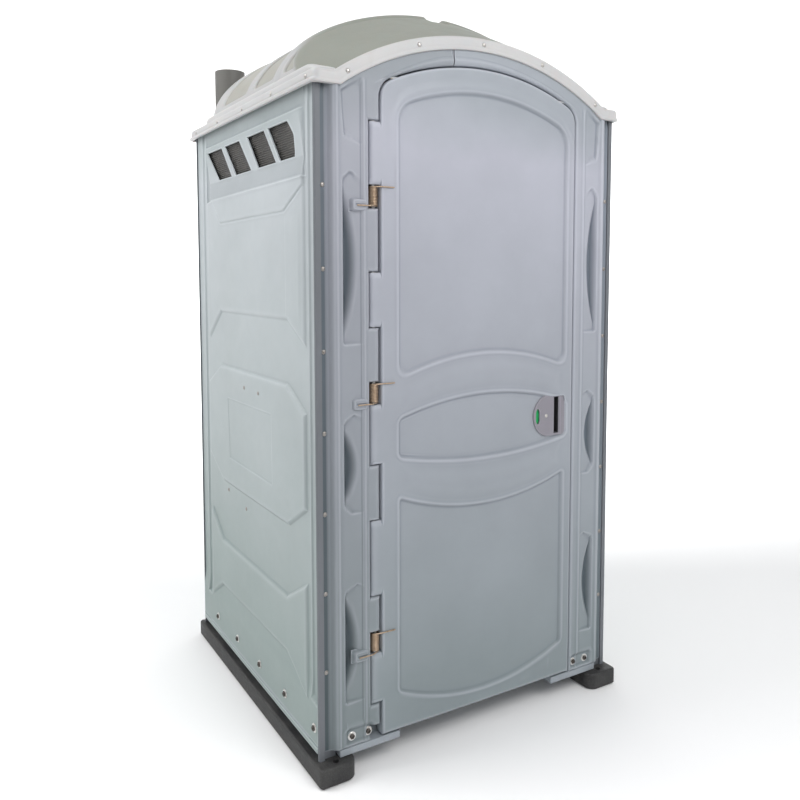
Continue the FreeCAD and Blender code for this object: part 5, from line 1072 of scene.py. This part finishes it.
def vent_bay(u, v):
    """The bay of the vent windows: its depth, the ridges along its outline and round each
    window, and a mark of painted shade: darkest in the sunk surround beside the bay, less on its
    plate. Beside the bay the wall falls back towards the eave, and inside it a plate falls back
    from its foot."""
    around = [(58, 1716), (58, 2030), (962, 2030), (962, 1700), (892, 1708)]
    in_bay, in_surround = inside_outline(u, v, BAY), inside_outline(u, v, around)
    plate_depth, beside_depth = 7.0, 12.0
    plate = plate_depth * (0.2 + 0.8 * np.clip((v - BAY[0][1]) / 54.0, 0.0, 1.0))
    beside = beside_depth * (1.0 - 0.75 * np.clip((v - 1915.0) / 70.0, 0.0, 1.0))
    into = even_slope((in_bay + 3.0) / 6.0)
    depth = (beside * (1 - into) + plate * into) * even_slope((in_surround + 0.5) / 8.0)
    from_window = np.full(u.shape, 1e3)
    for (a, b), (c, d) in zip(WINDOW_FEET, WINDOW_HEADS):
        window = [(a, WINDOW_LOW), (b, WINDOW_LOW), (d, WINDOW_HIGH), (c, WINDOW_HIGH)]
        from_window = np.minimum(from_window, np.abs(inside_outline(u, v, window)))
    ridges = 1.8 * bump_at(in_bay, 0.0, 6.0) + 1.8 * ease(1 - from_window / 5.0) * (in_bay > 0)
    # Painted shade round the bay.
    sunk = ease(in_surround / 8.0) * (0.8 - into * (0.1 + 0.5 * ease((v - 1768.0) / 8.0)))
    return depth, ridges, sunk


def side_wall():
    """Side wall with its fields, its vent bay, the bare label rectangle and the hem. Also
    marks the painted shade round the bay."""
    u, v, hole = side_wall_grid()
    bay_depth, ridges, sunk = vent_bay(u, v)
    relief = np.maximum(wall_fields(u, v), bay_depth) - ridges
    label = [(323.0, 1008.0), (733.0, 1004.0), (717.0, 792.0), (320.0, 786.0)]
    relief += 1.4 * even_slope((inside_outline(u, v, label) + 1.5) / 3.5)
    hem_top = 97.0
    relief += 2.4 * bump_at(v, hem_top, 3.4) - 1.5 * ease((hem_top - 2.0 - v) / 3.0)
    points, faces = thick(mm(HALF - relief, u, v), grid_faces(*u.shape, keep=~hole), 4.0)
    return points, faces, {"sunk": mark_both(sunk, points)}


def back_wall():
    """Rear wall: three fields pressed inwards, with heights as on the sides."""
    side = 470.0
    fields = [[(-side, 1640), (-360, 1710), (360, 1710), (side, 1640), (side, 1236), (340, 1308),
               (-340, 1308), (-side, 1236)],
              [(-side, 1048), (-340, 1120), (340, 1120), (side, 1048), (side, 767), (340, 690),
               (-340, 690), (-side, 767)],
              [(-side, 554), (-340, 470), (340, 470), (side, 554), (side, 218), (340, 290),
               (-340, 290), (-side, 218)]]
    folds = [-POST_EDGE, -side, -345, 345, side, POST_EDGE]
    levels = [PANEL_FOOT, 290, 470, 690, 1120, 1308, 1710, PANEL_TOP]
    x, z = np.meshgrid(graded(-POST_EDGE, POST_EDGE, folds, 9.0, 2.4, 9.0),
                       graded(PANEL_FOOT, PANEL_TOP, levels, 8.0, 2.4, 9.0))
    relief = pressed_fields(x, z, fields, 9.0)
    return thick(mm(x, BACK - relief, z), grid_faces(*x.shape)[:, ::-1], 4.0)


def make_screen():
    """Vent screen behind the windows: a sheet of fine slats, its face a rounded saw of the
    height."""
    front, rear, low, high, slat = 86.0, 950.0, 1754.0, 1898.0, 7.0
    u, v = np.meshgrid(graded(front, rear, [front, rear], 24.0, 4.0, 6.0), np.arange(low, high, 1.0))
    wave = np.abs(((v - low) / slat) % 1.0 - 0.5) * 2
    depth = 16.5 + 3.4 * ease(wave * 1.5 - 0.2)
    return thick(mm(HALF - depth, u, v), grid_faces(*u.shape), 1.2)


# Roof
def dome_height(x, depth):
    """Crown height: the lower of a front slope and a vault. The slope rises evenly from the
    front arch. The vault is base plus rise times a root of one less a power of the share of its
    half width, so that its flanks stand almost upright; it tapers to its rear end."""
    slope = ARCH_Z + np.sqrt(np.maximum((ARCH_R + 38.0) ** 2 - x ** 2, 0.0)) + 0.48 * (depth + 12.0)
    behind = np.clip((depth - 800.0) / (DOME_REAR - 800.0), 0.0, 1.0 - 1e-7)
    taper = (1.0 - behind ** 10) ** 0.3
    power = 1.8 + 0.32 * np.clip((depth - 500.0) / 495.0, 0.0, 1.0)
    rise = (271.5 + 16.5 * ease((depth - 156.0) / 104.0)) * taper
    across = np.minimum(1.0, np.abs(x / (552.0 * taper)))
    vault = DOME_BASE + rise * (1.0 - across ** power) ** 0.546 - 200.0 * (across >= 1.0)
    nearer = np.clip(0.5 + (slope - vault) / 24.0, 0.0, 1.0)
    return slope * (1 - nearer) + vault * nearer - 12.0 * nearer * (1 - nearer), nearer


def make_dome():
    """Dome: for every depth the columns are spread by the sine of an angle over the width
    where it stands above its foot, which is found by halving. A rib crosses it, a channel runs
    along the crown, and bays on the flanks are sunk with rounded corners."""
    bays = [(60.0, 232.0), (292.0, 472.0), (524.0, 770.0)]
    bay_foot, bay_head, bay_corner = 2023.0, 2225.0, 20.0
    front, round_from = -12.0, 878.0
    folds = [*np.ravel(bays), front, 240, 280, 862]
    end = DOME_REAR - (DOME_REAR - round_from) * np.linspace(1, 0, 28)[1:] ** 3
    depths = np.concatenate([graded(front, round_from, folds, 8.0, 2.2, 8.0), end])
    share = np.sin(np.radians(graded(-90.0, 90.0, [-4.0, 4.0], 0.9, 0.25, 1.2)))
    low, high = np.full(depths.shape, 10.0), np.full(depths.shape, 556.0)
    for _ in range(30):
        middle = (low + high) / 2
        stands = dome_height(middle, depths)[0] > DOME_FOOT
        low, high = np.where(stands, middle, low), np.where(stands, high, middle)
    x = low[:, None] * share[None]
    depth = np.broadcast_to(depths[:, None], x.shape)
    z, vaulted = dome_height(x, depth)
    bay = np.full(x.shape, -50.0)
    for start, finish in bays:
        bay = np.maximum(bay, inside_corner(np.maximum(start - depth, depth - finish),
                                            np.maximum(bay_foot - z, z - bay_head), bay_corner))
    high_fade = ease((bay_head - z) / 80.0)
    sunk = ease(bay / 8.0) * ease(vaulted * 2.0 - 1.0)
    crown = ease((np.abs(x) - 34.0) / 9.0)
    rib = ease(1.5 - np.abs(depth - 261.0) / 18.0) * crown
    channel = (1 - crown) * ease((depth - 205.0) / 16.0) * ease((860.0 - depth) / 40.0)
    outward = np.sign(x) * ease((np.abs(x) - 280.0) / 120.0)
    z = np.maximum(z + 5.0 * rib - 9.5 * channel - 2.5 * sunk * high_fade, DOME_FOOT)
    x = np.clip(x - outward * 7.0 * sunk * high_fade, -554.0, 554.0)
    # Painted shade on the front slope where it stands clear of the vault.
    slope_shade = 1.0 - np.clip(vaulted * 1.6 - 0.5, 0.0, 1.0)
    shade = {"bay": sunk * (0.5 + 0.5 * high_fade), "slope": slope_shade, "dome": np.ones(x.shape)}
    points, faces = thick(mm(x, depth, z), grid_faces(*x.shape)[:, ::-1])
    return points, faces, {label: mark_both(values, points) for label, values in shade.items()}


def make_deck():
    """Deck under the dome: a rounded edge carried round an oblong, then flat inwards to the
    dome's opening. The oblong is a circle whose cosine and sine are raised to a low power, and
    each row of the profile makes it smaller. The front edge sinks to the fascia."""
    turn = np.linspace(0, 2 * np.pi, 241)[:-1]
    power = 0.10
    ring = np.stack([np.sign(np.cos(turn)) * np.abs(np.cos(turn)) ** power,
                     np.sign(np.sin(turn)) * np.abs(np.sin(turn)) ** power])
    profile = np.array([(0.0, 0.0), (0.0, 10.0), (0.6, 14.5), (2.6, 18.6), (6.0, 21.2), (10.0, 22.0),
                        (40.0, 22.0), (118.0, 22.0)])
    half_width, half_depth, middle = 554.0, 499.5, 485.5
    inwards = profile[:, :1]
    x = ring[0][None] * (half_width - inwards)
    depth = middle + ring[1][None] * (half_depth - inwards)
    z = EAVE + 37.0 + profile[:, 1:] * ease((depth + 40.0) / 95.0)
    return thick(mm(x, depth, z), grid_faces(*x.shape, round_columns=True)[:, ::-1], 3.0)


def make_rear_ledge():
    """Flat ledge between deck and rear rim, with a low crown across so that water runs off."""
    half = 549.0
    x, depth = np.meshgrid(np.linspace(-half, half, 60), np.linspace(972.0, 1098.0, 14))
    return thick(mm(x, depth, EAVE + 38.4 - 1.2 * (x / half) ** 2), grid_faces(*x.shape))


def make_rim():
    """Roof rim: one closed band carried round the roof. In front it follows the arch between
    two level ears, elsewhere it is a bead, a step, a wall and a ledge. Every place has a low
    point, a high point and a way outwards, and each profile row is a share between the two
    points and a distance inwards."""
    bend, half, rear, front = 26.0, 545.0, 1094.0, -1.0
    ear, top_r = 483.0, ARCH_R + 41.0
    ledge = EAVE + 38.0
    meet = math.sqrt(top_r ** 2 - (ledge - ARCH_Z) ** 2)

    def arch(radius, end, outer_z):
        """The front's path: a level ear, an arc up to a distance from the middle, and an ear."""
        sweep = np.linspace(-math.asin(end / radius), math.asin(end / radius), 170)
        out = np.linspace(half, end, 14)[:-1]
        level_ear = np.full(len(out), outer_z)
        return (np.concatenate([-out, radius * np.sin(sweep), out[::-1]]),
                np.concatenate([level_ear, ARCH_Z + radius * np.cos(sweep), level_ear]))

    low_x, low_z = arch(ARCH_R, ear, EAVE)
    high_x, high_z = arch(top_r, meet, ledge)
    turn = np.linspace(0, np.pi / 2, 9)
    side, cross = np.linspace(front, rear, 60)[1:-1], np.linspace(half, -half, 50)[1:-1]
    along_side, along_rear = np.ones(len(side)), np.ones(len(cross))
    turns = [turn, along_side * np.pi / 2, turn + np.pi / 2, along_rear * np.pi, turn + np.pi,
             along_side * 1.5 * np.pi, (turn + 1.5 * np.pi)[:-1]]
    centres = [(half, front), (half, side), (half, rear), (cross, rear), (-half, rear),
               (-half, side[::-1]), (-half, front)]
    angle = np.concatenate([np.zeros(len(low_x) - 1), *turns])
    count = len(angle) - len(low_x) + 1
    middle = np.concatenate([np.stack(np.broadcast_arrays(*centre, angles), -1)[:, :2]
                             for centre, angles in zip(centres, turns)])
    way_x, way_f = np.sin(angle), -np.cos(angle)
    base_f = np.concatenate([np.full(len(low_x) - 1, front), middle[:, 1]])
    low_x = np.concatenate([low_x[:-1], middle[:, 0]])
    high_x = np.concatenate([high_x[:-1], middle[:, 0]])
    low_z = np.concatenate([low_z[:-1], np.full(count, EAVE)])
    high_z = np.concatenate([high_z[:-1], np.full(count, ledge)])
    rows = np.array([(0.0, 14.0, 9.0), (0.0, 4.0, 4.5), (0.03, 1.0, 1.2), (0.10, 0.1, 0.0),
                     (0.20, 0.5, 0.3), (0.31, 1.2, 2.4), (0.35, 1.3, 5.6), (0.41, 1.4, 7.0),
                     (0.55, 1.6, 7.2), (0.79, 2.2, 7.6), (0.91, 4.0, 8.6), (0.98, 8.5, 11.0),
                     (1.0, 12.0, 15.0), (1.0, 18.0, 20.0), (1.0, 25.5, 25.5)])
    level, in_front, at_side = rows[:, :1], rows[:, 1:2], rows[:, 2:]
    sideways = np.where(way_f < 0, way_x ** 2, 1.0)
    inset = bend - (in_front * (1 - sideways) + at_side * sideways)
    x = low_x * (1 - level) + high_x * level + way_x * inset
    z = low_z * (1 - level) + high_z * level
    return thick(mm(x, base_f + way_f * inset, z), grid_faces(*x.shape, round_columns=True))


def roof_rivet_places():
    """Places and ways of the rivets round the roof's rim: sides, rear and front arch."""
    level, side_pitch, front_pitch = EAVE + 22.0, 252.0, 229.0
    side = [((s * (HALF + 4.0), 28.0 + side_pitch * k, level), (s, 0, 0))
            for s in (-1, 1) for k in range(5)]
    rear = [((x, 1113.0, level), (0, 1, 0)) for x in (-450, -150, 150, 450)]
    front_x = [front_pitch * k - 4.0 for k in range(-2, 3)]
    front = [((x, -25.6, ARCH_Z + math.sqrt((ARCH_R + 20.5) ** 2 - x * x)), (0, -1, 0))
             for x in front_x]
    return side + rear + front


# Hinge springs
def make_spring(low, high):
    """Hinge spring: a leg on the door, close turns down the rod, and a leg on the jamb. The
    route joins straight runs to a helix and is smoothed by a short moving mean."""
    turns, pitch, coil, wire = 13, 4.15, 13.4, 2.0
    top = (low + high) / 2 + turns * pitch / 2
    count = 40 * turns
    angle = -np.pi / 2 - 2 * np.pi * np.linspace(0, turns, count)
    helix = np.stack([HINGE_X + coil * np.cos(angle), HINGE_DEPTH + coil * np.sin(angle),
                      top - pitch * np.linspace(0, turns, count)], -1)
    leg_face = FACE - 2.4

    def leg(start, end, depth, z):
        """Straight run across the hinge, between two distances from its rod."""
        along = np.linspace(HINGE_X + start, HINGE_X + end, 26)
        return np.stack(np.broadcast_arrays(along, depth, z), -1)

    route = np.concatenate([leg(62, 12, leg_face, top + 0.3), helix,
                            leg(-12, -62, leg_face - 5.0, helix[-1, 2] - 0.4)])
    longer = np.concatenate([np.repeat(route[:1], 3, 0), route, np.repeat(route[-1:], 3, 0)])
    weights = np.array([1, 2, 3, 4, 3, 2, 1]) / 16.0
    route = np.stack([np.convolve(longer[:, k], weights, "valid") for k in range(3)], -1)
    return tube(route, wire, 10)


# Build
def build_front():
    """Door skin, latch, the two frame halves, and the springs with their pads."""
    piece("door_skin", *make_door(), body_plastic, body="door", slot="door_plastic",
          stands_for=("door_outer_skin",))
    plate, cup = make_latch_plate()
    piece("latch_face", *plate, latch_plastic, body="door", slot="latch_plastic",
          stands_for=("latch_plate",))
    piece("latch_cup", *cup, black_plastic, body="door", slot="black_plastic")
    # The left half takes the darker copy of the plastic as painted shade.
    for name, side, finish in (("left", -1, shaded_jamb_plastic), ("right", 1, body_plastic)):
        points, faces, marks = make_frame(side)
        piece("frame_" + name, points, faces, finish, slot="frame_plastic", marks=marks,
              stands_for=("front_frame_" + name,))
    for place, (low, high) in zip(("bottom", "middle", "top"), SPRING_ZONES):
        piece("spring_pad_" + place, *make_pad(low), shaded_jamb_plastic, slot="frame_plastic")
        spring = piece("hinge_spring_" + place, *make_spring(low, high), spring_metal, weld=True,
                       slot="spring_steel", sharp=60.0)
        spring.parent = None
        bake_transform(spring)
        if place == "bottom":
            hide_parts("hinge_springs")


def build_walls():
    """Side walls, rear wall and vent screens."""
    points, faces, marks = side_wall()
    piece("side_wall_right", points, faces, wall_plastic, slot="wall_plastic", marks=marks,
          stands_for=("side_panel_right",))
    piece("side_wall_left", *mirrored(points, faces), wall_plastic, slot="wall_plastic",
          marks=marks, stands_for=("side_panel_left",))
    piece("rear_wall", *back_wall(), wall_plastic, slot="wall_plastic", stands_for=("back_panel",))
    screen = make_screen()
    piece("screen_right", *screen, screen_plastic, slot="screen_plastic",
          stands_for=("vent_screen_right",))
    piece("screen_left", *mirrored(*screen), screen_plastic, slot="screen_plastic",
          stands_for=("vent_screen_left",))


def build_roof():
    """Dome, rim, deck and rear ledge; the dome stands for the roof's node."""
    points, faces, marks = make_dome()
    piece("roof_dome", points, faces, roof_plastic, slot="roof_plastic", stands_for=("roof_shell",),
          marks=marks)
    for name, shape in (("roof_rim", make_rim()), ("roof_deck", make_deck()),
                        ("roof_rear_ledge", make_rear_ledge())):
        piece(name, *shape, roof_plastic, slot="roof_plastic")


def build_fasteners():
    """Rivets, wall screws, and bolts with their washers. A profile's rows are radius and
    height."""
    dome = [(0.0, 3.2), (2.6, 3.05), (4.6, 2.5), (6.2, 1.4), (7.0, 0.2), (7.0, -0.6), (0.0, -0.6)]
    front = [((s * RIVET_X, 0.0, z), (0, -1, 0)) for s in (-1, 1) for z in RIVET_HEIGHTS]
    rear = [((s * RIVET_X, BACK, z), (0, 1, 0)) for s in (-1, 1) for z in RIVET_HEIGHTS]
    on_belt, on_base = HALF - 0.2, HALF - 9.0
    screws = [((s * x, u, z), (s, 0, 0)) for s in (-1, 1) for x, u, z in
              ((on_belt, 560.0, 1062.0), (on_belt, 430.0, 1060.0),
               (on_base, 760.0, 664.0), (on_base, 580.0, 640.0))]
    for name, nodes, rows in (("rivets_front", ("front_rivets",), front),
                              ("rivets_rear", ("rear_rivets",), rear), ("wall_screws", (), screws),
                              ("rivets_roof", ("roof_rivets",), roof_rivet_places())):
        places, ways = zip(*rows)
        finish = rivet_metal if name == "rivets_roof" else worn_metal
        piece(name, *turned(dome, places, ways, 14), finish, slot="rivet_metal",
              stands_for=nodes, weld=True)
    washer = [(0.0, 0.0), (0.0, 2.4), (12.0, 2.4), (13.2, 1.4), (13.5, -0.4), (0.0, -0.4)]
    head = [(0.0, 4.0), (4.2, 4.2), (4.6, 7.2), (6.8, 7.2), (8.0, 6.0), (8.2, 2.0), (0.0, 2.0)]
    bolt_pitch = 216.0
    sides = [((s * (HALF - 3.5), 26.0 + bolt_pitch * k, 145.0), (s, 0, 0))
             for s in (-1, 1) for k in range(5)]
    feet = [((s * x, -10.0, 108.0), (0, -1, 0)) for s in (-1, 1) for x in (402.0, 455.0)]
    for name, node, rows in (("side", "side_bolts", sides), ("foot", "frame_bolts", feet)):
        places, ways = zip(*rows)
        piece("washers_" + name, *turned(washer, places, ways, 24), washer_metal, slot="steel",
              stands_for=(node,), weld=True, sharp=30.0)
        piece("bolts_" + name, *turned(head, places, ways, 6), bolt_metal, slot="steel", weld=True,
              sharp=30.0)


def dress_kept_nodes():
    """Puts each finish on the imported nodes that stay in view."""
    finishes = {"skid_left": skid_plastic, "skid_right": skid_plastic, "floor_pan": pan_plastic,
                "post_front_left": post_plastic, "post_front_right": post_plastic,
                "post_rear_left": post_plastic, "post_rear_right": post_plastic,
                "vent_pipe": pipe_plastic, "door_inner_skin": body_plastic, "hinge_rod": rod_metal,
                "latch_spindle": rivet_metal, "latch_indicator": indicator_colours,
                "latch_bolt": black_plastic, "latch_strike": bolt_metal, "holding_tank": tank_plastic,
                "toilet_seat": seat_plastic, "toilet_lid": seat_plastic, "lid_pin": rod_metal,
                "urinal": urinal_plastic, "urinal_drain": pan_plastic, "paper_holder": rivet_metal,
                "paper_rod": rod_metal, "paper_roll_front": paper, "paper_roll_rear": paper,
                "skid_bolts": bolt_metal}
    for name, finish in finishes.items():
        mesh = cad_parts[name].data
        mesh.materials.clear()
        mesh.materials.append(finish)


# Studio
def build_studio():
    """Camera as the photograph was taken, a pale floor whose rim curls up, and soft light from
    above. Metres."""
    camera_data = bpy.data.cameras.new("camera")
    photo_width, focal_length = 800.0, 789.9        # both in pixels
    camera_data.sensor_width = 36.0
    camera_data.lens = focal_length / photo_width * camera_data.sensor_width
    camera_data.shift_x = 0.0006
    camera_data.shift_y = -0.0896
    camera = bpy.data.objects.new("camera", camera_data)
    bpy.context.scene.collection.objects.link(camera)
    camera.location = (-1.4646, -2.5066, 1.4481)
    camera.rotation_mode = "XYZ"
    camera.rotation_euler = (math.radians(90 - 4.05), math.radians(0.09), math.radians(-30.9))
    bpy.context.scene.camera = camera

    count, half, flat_to = 72, 16, 5.0
    side, back = np.meshgrid(np.linspace(-half, half, count), np.linspace(-half, half, count))
    rise = 0.10 * np.maximum(np.hypot(side, back) - flat_to, 0.0) ** 2
    points = np.stack([side.ravel(), back.ravel(), rise.ravel()], -1)
    floor_mesh = bpy.data.meshes.new("floor")
    floor_mesh.from_pydata(points.tolist(), [], grid_faces(count, count).tolist())
    floor_mesh.shade_smooth()
    floor = bpy.data.objects.new("floor", floor_mesh)
    bpy.context.scene.collection.objects.link(floor)
    f = Finish("floor_paper")
    tone = f.mix(f.noise(0.8, 3.0, 0.5), (0.95, 0.95, 0.95), (0.97, 0.97, 0.97))
    floor_mesh.materials.append(f.done(Base_Color=tone, Roughness=0.85, Specular_IOR_Level=0.2))

    world = bpy.data.worlds.new("studio")
    world.use_nodes = True
    sky = world.node_tree.nodes["Background"].inputs
    sky["Color"].default_value = (0.97, 0.985, 1.0, 1)
    sky["Strength"].default_value = 0.62
    bpy.context.scene.world = world

    def soft_light(name, place, target, size, power, colour=(1, 1, 1)):
        """Square lamp at a place that looks at a target."""
        data = bpy.data.lights.new(name, "AREA")
        data.shape, data.size, data.energy, data.color = "SQUARE", size, power, colour
        lamp = bpy.data.objects.new(name, data)
        bpy.context.scene.collection.objects.link(lamp)
        lamp.location = place
        away = np.subtract(place, target)
        flat = math.hypot(away[0], away[1])
        lamp.rotation_euler = (math.atan2(flat, away[2]), 0, math.atan2(away[0], -away[1]))

    soft_light("front", (0.3, -2.9, 3.3), (0.0, -0.5, 1.2), 1.7, 55, (1.0, 0.99, 0.985))
    soft_light("left", (-2.9, 0.7, 4.2), (-0.56, 0.3, 1.2), 1.8, 92, (1.0, 0.995, 0.99))
    soft_light("backdrop", (2.4, 3.2, 5.0), (5.5, 9.0, 0.8), 4.0, 1000)
    bpy.context.scene.view_settings.view_transform = "Standard"


build_front()
build_walls()
build_roof()
build_fasteners()
dress_kept_nodes()
build_studio()
